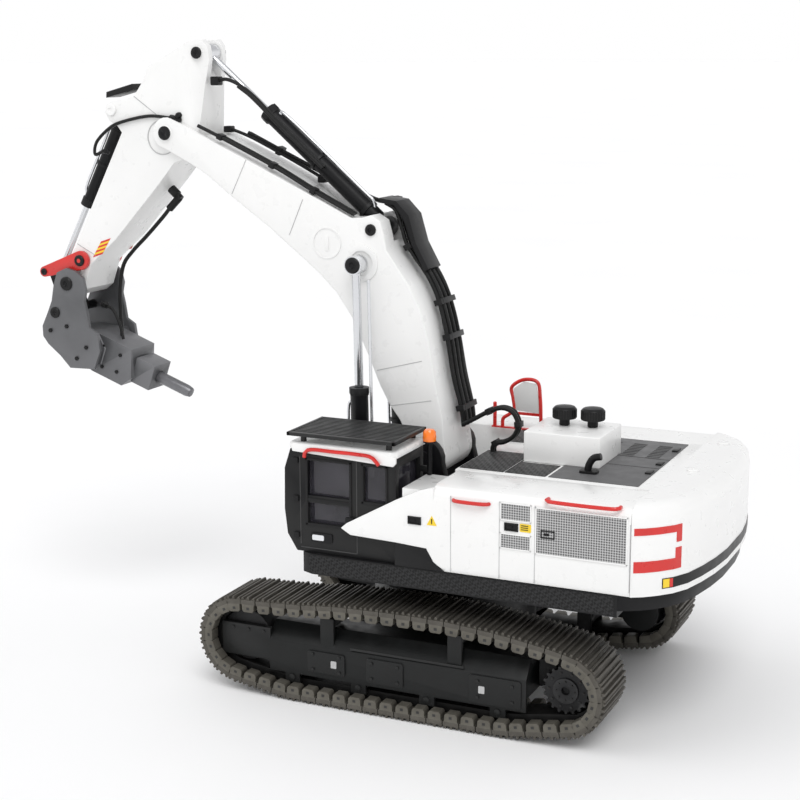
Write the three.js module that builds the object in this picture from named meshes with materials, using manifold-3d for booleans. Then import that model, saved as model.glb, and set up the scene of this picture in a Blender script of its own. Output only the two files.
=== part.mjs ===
// Toy excavator with a hydraulic breaker. Millimetres, +X forward, +Y to the cab side, +Z up.
// While it is built, x = 0 is the slew axis and z = 0 is the ground.
import * as THREE from "three";
import { mergeVertices } from "three/addons/utils/BufferGeometryUtils.js";
import Module from "manifold-3d";

const wasm = await Module();
wasm.setup();

// ---------- overall sizes ----------
const GAP = 0.3; // between neighbouring pieces
const TRACK_OUT = 110; // half the width over the tracks
const SHOE_WIDTH = 46;
const TRACK_IN = TRACK_OUT - SHOE_WIDTH;
const SHOE_PITCH = 11.6;
const SHOE_DEPTH = 7; // grouser, plate and guide block
const CHAIN_DEPTH = 12.6; // ground face to the inside of the chain
const CHAIN_IN = 78;
const CHAIN_OUT = 97.5;
const IDLER = { x: 116, z: 38, track: 32, r: 18.2 };
const SPROCKET = { x: -117, z: 36, track: 30, tip: 16, root: 14.2, teeth: 20 };
const ROLLER_X = [78.3, 28.4, -21.6, -71.6];
const ROLLER_R = 5.2;
const ROLLER_Z = CHAIN_DEPTH + GAP + ROLLER_R;
const CARRIERS = [{ x: 52, z: 55.9 }, { x: -41, z: 58.2 }];
const CARRIER_R = 4.6;
const FRAME_FRONT = 96;
const FRAME_REAR = -91;
const FRAME_OUT = 101.8;

const DECK_LOW = 93;
const DECK_TOP = 106.7;
const BODY_LOW = DECK_TOP + GAP;
const BODY_TOP = 163;
const AIR_BOX_TOP = BODY_TOP + 21;
const BODY_OUT = 110;
const HOOD_HALF = 65;
const SEAM_REAR = -159.5; // where the side body meets the counterweight
const CAB = { rear: -2, front: 79.5, right: 62.5, left: 106, roof: 176.5, wall: 3 };

// ---------- pins, each [x, z] ----------
const BOOM_FOOT = [12, 158];
const BOOM_HALF = 24;
const LIFT_BASE = [58, 122];
const LIFT_TOP = [61, 290];
const LIFT_Y = 33;
const LIFT_BARREL = 83;
const STICK_PIN = [216, 375.5];
const STICK_HALF = 19;
const STICK_CYL_BASE = [54, 313];
const STICK_CYL_TOP = [193, 431.5];
const STICK_BARREL = 120;
const TILT_CYL_BASE = [265, 391];
const TILT_BARREL = 81.5;
const ROCKER_PIN = [296, 280];
const ROCKER_END = [329, 270];
const BREAKER_PIN = [306.5, 262.5];
const LINK_END = [318, 240];
const TOOL_START = [318, 218.6]; // on the axis of the chisel
const TOOL_ANGLE = -160; // degrees in the side view
const ROCKER_IN = STICK_HALF + 0.4;
const ROCKER_OUT = ROCKER_IN + 3.4;
const PLATE_IN = ROCKER_OUT + 0.4;
const PLATE_OUT = PLATE_IN + 3;

const group = new THREE.Group();

// ---------- materials ----------
function paint(color, roughness, metalness) {
  return new THREE.MeshStandardMaterial({ color, roughness, metalness });
}
const WHITE = paint(0xeeeeec, 0.35, 0.1);
const BLACK = paint(0x17181a, 0.55, 0.1);
const DARK = paint(0x3a3c3e, 0.6, 0.2);
const TRACK_METAL = paint(0x77736a, 0.55, 0.7);
const CHAIN_METAL = paint(0x1c1d1f, 0.6, 0.6);
const GREY = paint(0x7d8182, 0.5, 0.7);
const RED = paint(0xd22018, 0.4, 0.1);
const CHROME = paint(0xc8ccd0, 0.15, 1.0);
const RUBBER = paint(0x141414, 0.75, 0.0);
const GLASS = paint(0x26303a, 0.1, 0.0);
const ORANGE = paint(0xff6a10, 0.3, 0.0);

// ---------- solids ----------
function solid(geometry) {
  const flat = geometry.index ? geometry.toNonIndexed() : geometry;
  const bare = new THREE.BufferGeometry();
  bare.setAttribute("position", flat.getAttribute("position"));
  const merged = mergeVertices(bare, 1e-3);
  return new wasm.Manifold(
    new wasm.Mesh({
      numProp: 3,
      vertProperties: merged.attributes.position.array,
      triVerts: new Uint32Array(merged.index.array),
    }),
  );
}

function geometryOf(made) {
  const mesh = made.getMesh();
  const bare = new THREE.BufferGeometry();
  bare.setAttribute("position", new THREE.BufferAttribute(mesh.vertProperties, 3));
  bare.setIndex(new THREE.BufferAttribute(mesh.triVerts, 1));
  const flat = bare.toNonIndexed();
  flat.computeVertexNormals();
  return flat;
}

function join(parts, cuts = []) {
  let made = solid(parts[0]);
  for (const part of parts.slice(1)) made = made.add(solid(part));
  for (const cut of cuts) made = made.subtract(solid(cut));
  return geometryOf(made);
}

function mirrored(geometry) {
  const flat = geometry.index ? geometry.toNonIndexed() : geometry.clone();
  const p = flat.getAttribute("position");
  for (let i = 0; i < p.count; i += 3) {
    const corner = [0, 2, 1].map((k) => [p.getX(i + k), -p.getY(i + k), p.getZ(i + k)]);
    corner.forEach((c, k) => p.setXYZ(i + k, c[0], c[1], c[2]));
  }
  const bare = new THREE.BufferGeometry();
  bare.setAttribute("position", p);
  bare.computeVertexNormals();
  return bare;
}

function add(name, geometry, material) {
  const mesh = new THREE.Mesh(geometry, material);
  mesh.name = name;
  group.add(mesh);
  return mesh;
}

// An outline of [x, z] points, as a plate from y0 to y1.
function sidePlate(outline, y0, y1) {
  const shape = new THREE.Shape(outline.map((p) => new THREE.Vector2(p[0], p[1])));
  const g = new THREE.ExtrudeGeometry(shape, { depth: y1 - y0, bevelEnabled: false });
  g.rotateX(Math.PI / 2);
  g.translate(0, y1, 0);
  return g;
}

// An outline of [x, y] points, as a slab from z0 to z1.
function planSlab(outline, z0, z1) {
  const shape = new THREE.Shape(outline.map((p) => new THREE.Vector2(p[0], p[1])));
  const g = new THREE.ExtrudeGeometry(shape, { depth: z1 - z0, bevelEnabled: false });
  g.translate(0, 0, z0);
  return g;
}

// The same slab with its top edge rounded over, and its underside left flat.
function roundedSlab(outline, z0, z1, edge, segments) {
  const shape = new THREE.Shape(outline.map((p) => new THREE.Vector2(p[0], p[1])));
  const g = new THREE.ExtrudeGeometry(shape, {
    depth: z1 - z0,
    bevelEnabled: true,
    bevelThickness: edge,
    bevelSize: edge,
    bevelOffset: -edge,
    bevelSegments: segments,
  });
  g.translate(0, 0, z0 - edge);
  return [g, box(-400, 400, -400, 400, z0 - 3 * edge, z0)];
}

// An outline of [y, z] points, drawn along x from x0 to x1.
function crossBar(outline, x0, x1) {
  const shape = new THREE.Shape(outline.map((p) => new THREE.Vector2(p[0], p[1])));
  const g = new THREE.ExtrudeGeometry(shape, { depth: x1 - x0, bevelEnabled: false });
  const turn = new THREE.Matrix4().set(0, 0, 1, x0, 1, 0, 0, 0, 0, 1, 0, 0, 0, 0, 0, 1);
  g.applyMatrix4(turn);
  return g;
}

function box(x0, x1, y0, y1, z0, z1) {
  const g = new THREE.BoxGeometry(x1 - x0, y1 - y0, z1 - z0);
  g.translate((x0 + x1) / 2, (y0 + y1) / 2, (z0 + z1) / 2);
  return g;
}

function discY(pin, r, y0, y1, sides = 20) {
  const g = new THREE.CylinderGeometry(r, r, y1 - y0, sides);
  g.translate(pin[0], (y0 + y1) / 2, pin[1]);
  return g;
}

function postZ(x, y, r, z0, z1, sides = 16) {
  const g = new THREE.CylinderGeometry(r, r, z1 - z0, sides);
  g.rotateX(Math.PI / 2);
  g.translate(x, y, (z0 + z1) / 2);
  return g;
}

// A turned profile of [radius, distance] points, laid from one pin towards another.
function turned(profile, from, to, y, sides = 20) {
  const g = new THREE.LatheGeometry(profile.map((p) => new THREE.Vector2(p[0], p[1])), sides);
  const way = new THREE.Vector3(to[0] - from[0], 0, to[1] - from[1]).normalize();
  g.applyQuaternion(new THREE.Quaternion().setFromUnitVectors(new THREE.Vector3(0, 1, 0), way));
  g.translate(from[0], y, from[1]);
  return g;
}

function hose(points, radius, steps, sides = 8) {
  const path = new THREE.CatmullRomCurve3(points.map((p) => new THREE.Vector3(...p)));
  const ring = new THREE.Shape();
  for (let i = 0; i <= sides; i++) {
    const a = (i / sides) * 2 * Math.PI;
    const x = radius * Math.cos(a);
    const y = radius * Math.sin(a);
    if (i === 0) ring.moveTo(x, y);
    else if (i < sides) ring.lineTo(x, y);
  }
  return new THREE.ExtrudeGeometry(ring, { steps, extrudePath: path, bevelEnabled: false });
}

function distance(a, b) {
  return Math.hypot(b[0] - a[0], b[1] - a[1]);
}

function arc(cx, cz, r, from, to, steps) {
  const out = [];
  for (let i = 0; i <= steps; i++) {
    const a = ((from + ((to - from) * i) / steps) * Math.PI) / 180;
    out.push([cx + r * Math.cos(a), cz + r * Math.sin(a)]);
  }
  return out;
}

// ---------- tracks ----------
function trackPath() {
  const front = arc(IDLER.x, IDLER.z, IDLER.track, -80, 100, 18);
  const rear = arc(SPROCKET.x, SPROCKET.z, SPROCKET.track, 100, 250, 15);
  const top = [[67, 72], [45, 74.4], [15, 75.6], [-13, 76.2], [-41, 75.8], [-76, 72.8], [-103, 69]];
  const ground = [[-77, 0], [79, 0]];
  return [...ground, ...front, ...top, ...rear];
}

// The same closed path walked in equal steps, one per track shoe.
function evenSteps(path) {
  const lengths = path.map((p, i) => distance(p, path[(i + 1) % path.length]));
  const total = lengths.reduce((a, b) => a + b, 0);
  const count = Math.round(total / SHOE_PITCH);
  const out = [];
  let leg = 0;
  let start = 0;
  for (let i = 0; i < count; i++) {
    const at = (total * (i + 0.5)) / count;
    while (at > start + lengths[leg]) {
      start += lengths[leg];
      leg += 1;
    }
    const k = (at - start) / lengths[leg];
    const a = path[leg];
    const b = path[(leg + 1) % path.length];
    out.push([a[0] + k * (b[0] - a[0]), a[1] + k * (b[1] - a[1])]);
  }
  return out;
}

// Each point moved inwards, square to the path that runs round anticlockwise.
function inwards(points, depth) {
  return points.map((p, i) => {
    const before = points[(i + points.length - 1) % points.length];
    const after = points[(i + 1) % points.length];
    const length = distance(before, after);
    const nx = -(after[1] - before[1]) / length;
    const nz = (after[0] - before[0]) / length;
    return [p[0] + nx * depth, p[1] + nz * depth];
  });
}

function ringPlate(outer, inner, y0, y1) {
  const shape = new THREE.Shape(outer.map((p) => new THREE.Vector2(p[0], p[1])));
  shape.holes.push(new THREE.Path(inner.map((p) => new THREE.Vector2(p[0], p[1]))));
  const g = new THREE.ExtrudeGeometry(shape, { depth: y1 - y0, bevelEnabled: false });
  g.rotateX(Math.PI / 2);
  g.translate(0, y1, 0);
  return g;
}

function shoeOutline(joints) {
  const notch = inwards(joints, 3.5);
  const out = [];
  joints.forEach((p, i) => {
    const q = joints[(i + 1) % joints.length];
    out.push(notch[i]);
    out.push([p[0] + 0.08 * (q[0] - p[0]), p[1] + 0.08 * (q[1] - p[1])]);
    out.push([p[0] + 0.92 * (q[0] - p[0]), p[1] + 0.92 * (q[1] - p[1])]);
  });
  return out;
}

function gearPlate() {
  const out = [];
  const step = (2 * Math.PI) / SPROCKET.teeth;
  for (let i = 0; i < SPROCKET.teeth; i++) {
    const a = i * step;
    const turn = [[-0.3, SPROCKET.root], [-0.14, SPROCKET.tip], [0.14, SPROCKET.tip], [0.3, SPROCKET.root]];
    for (const [k, r] of turn) {
      out.push([SPROCKET.x + r * Math.cos(a + k * step), SPROCKET.z + r * Math.sin(a + k * step)]);
    }
  }
  return sidePlate(out, 79, 99);
}

function sprocket() {
  const centre = [SPROCKET.x, SPROCKET.z];
  return join([gearPlate(), discY(centre, 8.5, 98.5, 100.6)], [discY(centre, 2.8, 97, 101, 12)]);
}

function trackFrame() {
  const section = [
    [72, 26], [99.2, 26], [99.2, 17], [FRAME_OUT, 17], [FRAME_OUT, 39], [92, 50.6], [72, 50.6],
  ];
  const centre = [SPROCKET.x, SPROCKET.z];
  const parts = [crossBar(section, FRAME_REAR, FRAME_FRONT)];
  parts.push(box(FRAME_FRONT - 1, 133, 98.4, FRAME_OUT, 24, 47));
  parts.push(box(FRAME_FRONT - 1, 133, 72, 77, 24, 47));
  parts.push(box(SPROCKET.x, FRAME_REAR + 1, 70, 77.5, 27, 46));
  parts.push(discY(centre, 14, 62, 78.6, 20));
  for (const x of ROLLER_X) {
    parts.push(box(x - 5.5, x + 5.5, 99.2, FRAME_OUT, 10.5, 18));
    parts.push(box(x - 5, x + 5, 73, 77.2, 11, 27));
  }
  for (const c of CARRIERS) parts.push(box(c.x - 5, c.x + 5, 97.6, 101, 36, c.z + 4));
  return join(parts);
}

function roller(x) {
  const centre = [x, ROLLER_Z];
  return join([
    discY(centre, ROLLER_R, 77.5, 98.9, 16),
    discY(centre, ROLLER_R + 1.1, 97.9, 98.9, 16),
  ]);
}

function addTracks() {
  const joints = evenSteps(trackPath());
  const shoes = ringPlate(shoeOutline(joints), inwards(joints, SHOE_DEPTH), TRACK_IN, TRACK_OUT);
  const outer = inwards(joints, SHOE_DEPTH + GAP);
  const chain = ringPlate(outer, inwards(joints, CHAIN_DEPTH), CHAIN_IN, CHAIN_OUT);
  const pieces = [
    ["track_shoes", shoes, TRACK_METAL],
    ["track_chain", chain, CHAIN_METAL],
    ["track_frame", trackFrame(), BLACK],
    ["sprocket", sprocket(), GREY],
    ["idler", discY([IDLER.x, IDLER.z], IDLER.r, 79, 96.5, 24), GREY],
  ];
  ROLLER_X.forEach((x, i) => pieces.push([`bottom_roller_${i + 1}`, roller(x), GREY]));
  CARRIERS.forEach((c, i) => {
    pieces.push([`carrier_roller_${i + 1}`, discY([c.x, c.z], CARRIER_R, 79, 97.3, 16), GREY]);
  });
  for (const [name, geometry, material] of pieces) {
    add(`${name}_left`, geometry, material);
    add(`${name}_right`, mirrored(geometry), material);
  }
}

function carbody() {
  const inner = 71.7;
  const legs = [[-48, -inner], [48, -inner], [48, inner], [-48, inner]];
  const hub = arc(0, 0, 58, 0, 330, 11);
  return join([
    planSlab(legs, 29, 51),
    planSlab(hub, 30, 70),
    postZ(0, 0, 46, 69, DECK_LOW - GAP, 32),
  ]);
}

// ---------- upper structure ----------
const REAR_CURVE = [
  [-160, 109.6], [-167, 105.6], [-174, 99.6], [-181.5, 91], [-187.5, 79.5], [-192, 62],
  [-195.5, 42], [-197.6, 20],
];

function rearOutline(front, frontHalf, inset) {
  const side = [[front, frontHalf], ...REAR_CURVE.map((p) => [p[0] + inset, p[1] - inset])];
  const other = side.map((p) => [p[0], -p[1]]).reverse();
  return [...side, ...other];
}

function deck() {
  const main = [
    [66, -106], [66, -46], [72, -44], [72, 44], [66, 46], [66, 106], [58, 109.5],
    [-152, 109.5], [-152, -109.5], [58, -109.5],
  ];
  const parts = [planSlab(main, DECK_LOW, DECK_TOP)];
  parts.push(planSlab(rearOutline(-151, 109.5, 3), 97, DECK_TOP));
  const ear = [[-14, 106], [38, 106], ...arc(...BOOM_FOOT, 14, -10, 190, 10)];
  const liftEar = [[50, 106], [66, 106], ...arc(...LIFT_BASE, 7.5, 0, 180, 8)];
  for (const s of [1, -1]) {
    const span = (a, b) => (s > 0 ? [a, b] : [-b, -a]);
    parts.push(sidePlate(ear, ...span(BOOM_HALF + 0.4, 31)));
    parts.push(discY(BOOM_FOOT, 6, ...span(30.5, 33), 16));
    parts.push(sidePlate(liftEar, ...span(BOOM_HALF + 0.4, 28)));
  }
  return join(parts, [planSlab([[67, 44.5], [80, 44.5], [80, 80], [67, 80]], 80, 110)]);
}

function sideBody(cabSide) {
  const section = [
    [HOOD_HALF + 0.7, BODY_LOW], [BODY_OUT - 1, BODY_LOW], [BODY_OUT, 111], [BODY_OUT, BODY_TOP - 10],
    [BODY_OUT - 1.3, BODY_TOP - 5], [BODY_OUT - 4.5, BODY_TOP - 1.2], [BODY_OUT - 9, BODY_TOP],
    [HOOD_HALF + 0.7, BODY_TOP],
  ];
  const skin = BODY_OUT - 3.6;
  const nose = [
    [-30, BODY_LOW], [-25, 121], [-3, 122.5], [29, 123.5], [36, 127.5], [32, 131], [-3, 150.5],
    [-20, 159], [-30, 162],
  ];
  if (!cabSide) return mirrored(crossBar(section, SEAM_REAR, 20));
  return join([
    crossBar(section, SEAM_REAR, -29),
    box(-30, -6, HOOD_HALF + 0.7, BODY_OUT - 5, BODY_LOW, 158),
    sidePlate(nose, skin, BODY_OUT),
    box(-10, -6, BODY_OUT - 6, skin + 0.5, 126, 150),
  ]);
}

function counterweight() {
  const [slab, under] = roundedSlab(rearOutline(-120, 110, 0), BODY_LOW, BODY_TOP + 2, 9, 3);
  const ahead = box(SEAM_REAR - GAP, 0, -200, 200, 0, 300);
  return join([join([slab], [under, ahead]), counterweightRoot()]);
}

function counterweightRoot() {
  const half = HOOD_HALF + 0.2;
  return planSlab([[-149.8, -half], [-149.8, half], [-163, half], [-163, -half]], BODY_LOW, BODY_TOP + 0.5);
}

function hood() {
  return box(-149.4, -26, -HOOD_HALF, HOOD_HALF, BODY_LOW, BODY_TOP);
}

function preCleaner(x, y) {
  const low = AIR_BOX_TOP + GAP;
  const g = new THREE.LatheGeometry(
    [[0, 0], [3.6, 0], [3.6, 4.4], [8.1, 4.8], [8.1, 11.4], [6.6, 12.8], [0, 13.2]].map(
      (p) => new THREE.Vector2(p[0], p[1]),
    ),
    20,
  );
  g.rotateX(Math.PI / 2);
  g.translate(x, y, low);
  return g;
}

function exhaust() {
  const top = BODY_TOP;
  const bend = [[-112, 40, top + 1], [-112, 40, top + 9], [-114, 40, top + 14], [-118, 40, top + 17]];
  const pipe = hose(bend, 3, 8);
  return join([box(-116, -104, 36, 44, top + GAP, top + 2.5), pipe]);
}

function guardRail() {
  const y = -60;
  const low = BODY_TOP + GAP;
  const frame = [
    [-11, y, low + 0.5], [-11.5, y, 170], [-16, y, 173.5], [-20, y, 177], [-19, y, 186],
    [-18, y, 194], [-27, y, 200], [-37.5, y, 199], [-39.8, y, 188], [-40.5, y, 174],
    [-40.5, y, low + 0.5],
  ];
  const panel = sidePlate(
    [[-19.5, 177], [-39.5, 175], [-38.5, 196], [-36, 198.6], [-27, 199.6], [-19, 194]],
    y - 0.6,
    y + 0.6,
  );
  return join([
    hose(frame, 1.4, 44, 8),
    panel,
    box(-41, -18, y - 0.8, y + 0.8, 174, 176),
    box(-43, -3, y - 1.5, y + 1.5, low, low + 1),
    postZ(-5, y, 1.4, low + 0.5, 182, 8),
  ]);
}

function grabHandle(x0, x1, z, root) {
  const y = BODY_OUT + 2.6;
  const path = [
    [x0, root, z], [x0, y - 1.6, z], [x0 + 3, y, z], [x1 - 3, y, z], [x1, y - 1.6, z], [x1, root, z],
  ];
  return hose(path, 1.3, 16);
}

// ---------- cab ----------
function cabOutline(grow) {
  return [
    [CAB.rear - grow, BODY_LOW - grow], [CAB.front - 9 + grow, BODY_LOW - grow],
    [CAB.front - 2 + grow, 118], [CAB.front + grow, 135], [CAB.front - 0.5 + grow, 163],
    [CAB.front - 5 + grow, CAB.roof + grow], [CAB.rear - grow, CAB.roof + grow],
  ];
}

function cabShell() {
  const out = sidePlate(cabOutline(0), CAB.right, CAB.left);
  const room = [
    [CAB.rear + 3, 90], [CAB.front - 13, 90], [CAB.front - 5, 119], [CAB.front - 3, 135],
    [CAB.front - 3.5, 162], [CAB.front - 7.5, 173.5], [CAB.rear + 3, 173.5],
  ];
  const cuts = [sidePlate(room, CAB.right + 3, CAB.left - 3)];
  const near = CAB.left;
  cuts.push(sidePlate([[31, 146], [62, 146], [61.5, 170], [31, 170]], near - 5, near + 5));
  cuts.push(sidePlate([[31, 127], [62, 127], [62, 141], [31, 141]], near - 5, near + 5));
  cuts.push(sidePlate([[5, 146], [21, 146], [21, 170], [5, 170]], near - 5, near + 5));
  cuts.push(sidePlate([[5, 130], [64, 130], [61.5, 170], [5, 170]], CAB.right - 5, CAB.right + 5));
  cuts.push(box(60, 90, CAB.right + 5, CAB.left - 5, 122, 168));
  cuts.push(box(-10, 8, CAB.right + 5, CAB.left - 5, 140, 170));
  return join([out], cuts);
}

function cabGlass() {
  const outer = [
    [CAB.rear + 3.3, 113], [CAB.front - 7.6, 113], [CAB.front - 5.4, 119], [CAB.front - 3.3, 135],
    [CAB.front - 3.8, 162], [CAB.front - 7.8, 173.2], [CAB.rear + 3.3, 173.2],
  ];
  const inner = [
    [CAB.rear + 4.8, 100], [CAB.front - 10, 100], [CAB.front - 7, 119], [CAB.front - 4.9, 135],
    [CAB.front - 5.4, 162], [CAB.front - 8.8, 171.6], [CAB.rear + 4.8, 171.6],
  ];
  const low = CAB.right + 3.3;
  const high = CAB.left - 3.3;
  return join([sidePlate(outer, low, high)], [sidePlate(inner, low + 1.6, high - 1.6)]);
}

function cabRoof() {
  const plan = [
    [-3, 61], [72, 61], [76, 64], [76, 104], [72, 108.5], [1, 108.5], [-3, 105],
  ];
  const [slab, under] = roundedSlab(plan, CAB.roof + GAP, 181.6, 2.4, 2);
  const skirt = [[-3, 174], [-1, 171.8], [12, 172.4], [72, 175.4], [72, 178], [-3, 178]];
  return join([join([slab], [under]), sidePlate(skirt, CAB.left + GAP, 108.5)]);
}

function roofGuard() {
  const feet = [[4, 66], [66, 66], [4, 103], [66, 103]];
  const posts = feet.map(([x, y]) => postZ(x, y, 2, 181.9, 187, 8));
  return join([box(-3, 75, 59.5, 110, 186, 188.4), ...posts]);
}

function cabRail() {
  const y = 110.2;
  return hose(
    [
      [62, y, 172.6], [61, y, 176.6], [57.5, y, 178], [40, y, 178.2], [24, y, 178.2],
      [13, y, 177.2], [8, y, 172.4],
    ],
    1.3,
    20,
  );
}

function seat() {
  return join([box(20, 44, 72, 96, BODY_LOW, 132), box(16, 23, 72, 96, 128, 158), box(17, 21, 78, 90, 157, 166)]);
}

function beacon() {
  const g = new THREE.LatheGeometry(
    [[0, 0], [1.6, 0], [1.6, 22.6], [4.4, 23.4], [4.6, 25], [4.3, 29], [3, 30.6], [0, 31]].map(
      (p) => new THREE.Vector2(p[0], p[1]),
    ),
    16,
  );
  g.rotateX(Math.PI / 2);
  g.translate(-9, 68, 158.3);
  return join([g, box(-9, CAB.rear - GAP, 67, 69, 160, 164)]);
}

// ---------- boom ----------
const BOOM_REAR = [
  [-2, 160], [-0.2, 172], [0.6, 185], [6.4, 209.8], [11.2, 238.6], [17.6, 260.9], [25.5, 276],
  [42.7, 299.9], [44.5, 310], [47, 319], [54, 323], [61, 321], [69, 320.5], [90, 330.5],
  [115.9, 342.3], [144, 355.4], [172.1, 367.9], [192.3, 377.3],
];
const BOOM_FRONT = [
  [197.2, 354.8], [182.6, 346.7], [163.4, 332.5], [132.5, 311.2], [105.1, 290], [93.5, 280.8],
  [80.4, 268.2], [68.3, 250.7], [55.4, 223.5], [47.9, 205.8], [40.3, 192.2], [32.7, 182.3],
  [27, 171], [26, 158],
];

function boom() {
  const tip = arc(...STICK_PIN, 11, 110, -80, 12);
  const foot = arc(...BOOM_FOOT, 14, -10, -170, 10);
  const outline = [...BOOM_REAR, ...tip, ...BOOM_FRONT, ...foot].reverse();
  const half = BOOM_HALF;
  const slot = [[41, 335], [43, 305], [52, 301], [62, 303], [112, 343], [112, 360], [60, 350]];
  const cuts = [discY(STICK_PIN, 30, -STICK_HALF - 0.4, STICK_HALF + 0.4, 28)];
  cuts.push(sidePlate(slot, -8.6, 8.6));
  const parts = [sidePlate(outline, -half, half)];
  parts.push(discY(STICK_PIN, 5, half - 1, half + 1.5, 16));
  parts.push(discY(STICK_PIN, 5, -half - 1.5, -half + 1, 16));
  return join(parts, cuts);
}

function liftBarrel(y) {
  const end = LIFT_BARREL;
  const profile = [[0, 8], [6.3, 8], [6.3, end - 4], [7, end - 4], [7, end], [3.4, end], [3.4, 14], [0, 14]];
  const tube = turned(profile, LIFT_BASE, LIFT_TOP, y, 20);
  return join([tube, discY(LIFT_BASE, 6.8, y - 4.6, y + 5, 18), neck(LIFT_BASE, LIFT_TOP, y, 4, 4, 9)]);
}

// A short round neck that joins an eye to its tube.
function neck(from, to, y, r, near, far) {
  return turned([[0, near], [r, near], [r, far], [0, far]], from, to, y, 12);
}

function cylinderRod(base, top, y, r, inside, eye, halfWidth) {
  const length = distance(base, top);
  const bar = turned([[0, inside], [r, inside], [r, length - 2], [0, length - 2]], base, top, y, 16);
  return join([bar, discY(top, eye, y - halfWidth, y + halfWidth, 18)]);
}

function barrel(base, top, r, bore, end, eye, halfWidth) {
  const profile = [
    [0, eye + 1], [r - 0.8, eye + 1], [r - 0.8, end - 6], [r, end - 6], [r, end], [bore, end],
    [bore, 16], [0, 16],
  ];
  return join([
    turned(profile, base, top, 0, 20),
    discY(base, eye, -halfWidth, halfWidth, 18),
    neck(base, top, 0, halfWidth * 0.7, 3, eye + 2),
  ]);
}

// ---------- stick and breaker ----------
const STICK_OUTLINE = [
  [185.4, 427], [186.6, 436.4], [190.5, 440.6], [198, 440], [207.4, 434.5], [232.3, 422], [237.5, 411],
  [245, 401], [256, 398.3], [263, 398], [269, 394.6], [270.4, 389.4], [267, 383.4], [260, 379.5],
  [256.5, 375], [284.7, 322.2], [298.2, 297], [306, 283], [315.3, 268], [316.3, 259], [311, 253.4],
  [302, 253], [295.5, 258], [288.5, 277.4], [265.5, 297.1], [226.3, 338.7], [213, 354], [201, 358],
  [193, 372], [191.2, 385], [188.6, 408.5],
];

// Each side leans in towards the rear of the stick's head, past a slanted crease.
function headTaper(side) {
  const g = sidePlate([[203, 450], [176, 450], [176, 373], [195, 373]], STICK_HALF, 40);
  const p = g.getAttribute("position");
  for (let i = 0; i < p.count; i++) {
    if (p.getX(i) < 180 && p.getY(i) < STICK_HALF + 1) p.setY(i, 8);
  }
  return side > 0 ? g : mirrored(g);
}

function stick() {
  const topSlot = [
    [197, 446], [204, 437], [203.5, 424], [194, 419.5], [180, 398], [168, 420], [178, 446],
  ];
  const frontSlot = [
    [254, 402], [254.5, 384], [264, 375], [290, 330], [300, 335], [290, 400], [276, 405],
  ];
  const cuts = [sidePlate(topSlot, -7, 7), sidePlate(frontSlot, -7, 7), headTaper(1), headTaper(-1)];
  const parts = [sidePlate([...STICK_OUTLINE].reverse(), -STICK_HALF, STICK_HALF)];
  const head = join(parts, cuts);
  return join([head, discY(STICK_CYL_TOP, 3.6, 10, 16.6, 12), discY(STICK_CYL_TOP, 3.6, -16.6, -10, 12)]);
}

function tapered(a, ra, b, rb, y0, y1) {
  const way = (Math.atan2(b[1] - a[1], b[0] - a[0]) * 180) / Math.PI;
  const outline = [...arc(...a, ra, way + 95, way + 265, 10), ...arc(...b, rb, way - 85, way + 85, 10)];
  return sidePlate(outline, y0, y1);
}

function rocker() {
  return join([
    tapered(ROCKER_PIN, 7.2, ROCKER_END, 4, ROCKER_IN, ROCKER_OUT),
    discY(ROCKER_PIN, 3, ROCKER_OUT - 1, ROCKER_OUT + 1.6, 12),
  ]);
}

function link() {
  const parts = [discY(LINK_END, 3.4, -PLATE_IN + GAP, PLATE_IN - GAP, 12)];
  for (const s of [1, -1]) {
    const span = (a, b) => (s > 0 ? [a, b] : [-b, -a]);
    parts.push(tapered(ROCKER_END, 3.8, LINK_END, 3.8, ...span(7.5, 12.5)));
    parts.push(discY(ROCKER_END, 2.8, ...span(12, ROCKER_IN - GAP), 12));
  }
  return join(parts);
}

function alongTool(s, n) {
  const a = (TOOL_ANGLE * Math.PI) / 180;
  const u = [Math.cos(a), Math.sin(a)];
  return [TOOL_START[0] + u[0] * s + u[1] * n, TOOL_START[1] + u[1] * s - u[0] * n];
}

// An outline of [distance, height] points along the axis of the chisel, as a plate either side.
function toolPlate(outline, half) {
  return sidePlate(outline.map((p) => alongTool(...p)), -half, half);
}

const BRACKET_OUTLINE = [
  [306.5, 274.2], [298.5, 272.3], [292, 267.5], [289.8, 258], [291.5, 250], [289.6, 241.5],
  [287.9, 230.2], [281, 226], [279, 213], [285, 198.8], [306.5, 198.3], [315, 207],
  [325.8, 215.4], [330.3, 221.2], [330.5, 229], [325.3, 239.2], [321, 248.6], [318.4, 261],
  [315, 270.5],
];

function breakerHousing() {
  const outline = [...BRACKET_OUTLINE];
  const parts = [sidePlate(outline, PLATE_IN, PLATE_OUT), sidePlate(outline, -PLATE_OUT, -PLATE_IN)];
  const body = [
    [312, 226], [289, 225.3], [258, 213.8], [259.5, 191.7], [268.5, 185.7], [294.6, 195.1],
    [305, 202],
  ];
  parts.push(sidePlate(body, -15.5, 15.5));
  const block = [
    [312, 226], [287, 224], [281.5, 213], [286, 201], [305.5, 200.8], [314, 209.5], [325, 218],
    [327, 224],
  ];
  parts.push(sidePlate(block, -PLATE_IN - 0.3, PLATE_IN + 0.3));
  parts.push(discY(BREAKER_PIN, 4.5, STICK_HALF + GAP, PLATE_IN + 0.3, 16));
  parts.push(discY(BREAKER_PIN, 4.5, -PLATE_IN - 0.3, -STICK_HALF - GAP, 16));
  parts.push(toolPlate([[55, -8.5], [55, 8.5], [63, 8.5], [63, -8.5]], 9.5));
  parts.push(toolPlate([[62, -9.5], [62, 10.5], [78.5, 10.5], [78.5, -9.5]], 11));
  const bore = turned([[0, 0], [4.8, 0], [4.8, 30], [0, 30]], alongTool(68, 0), alongTool(90, 0), 0, 18);
  return join(parts, [bore]);
}

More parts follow.
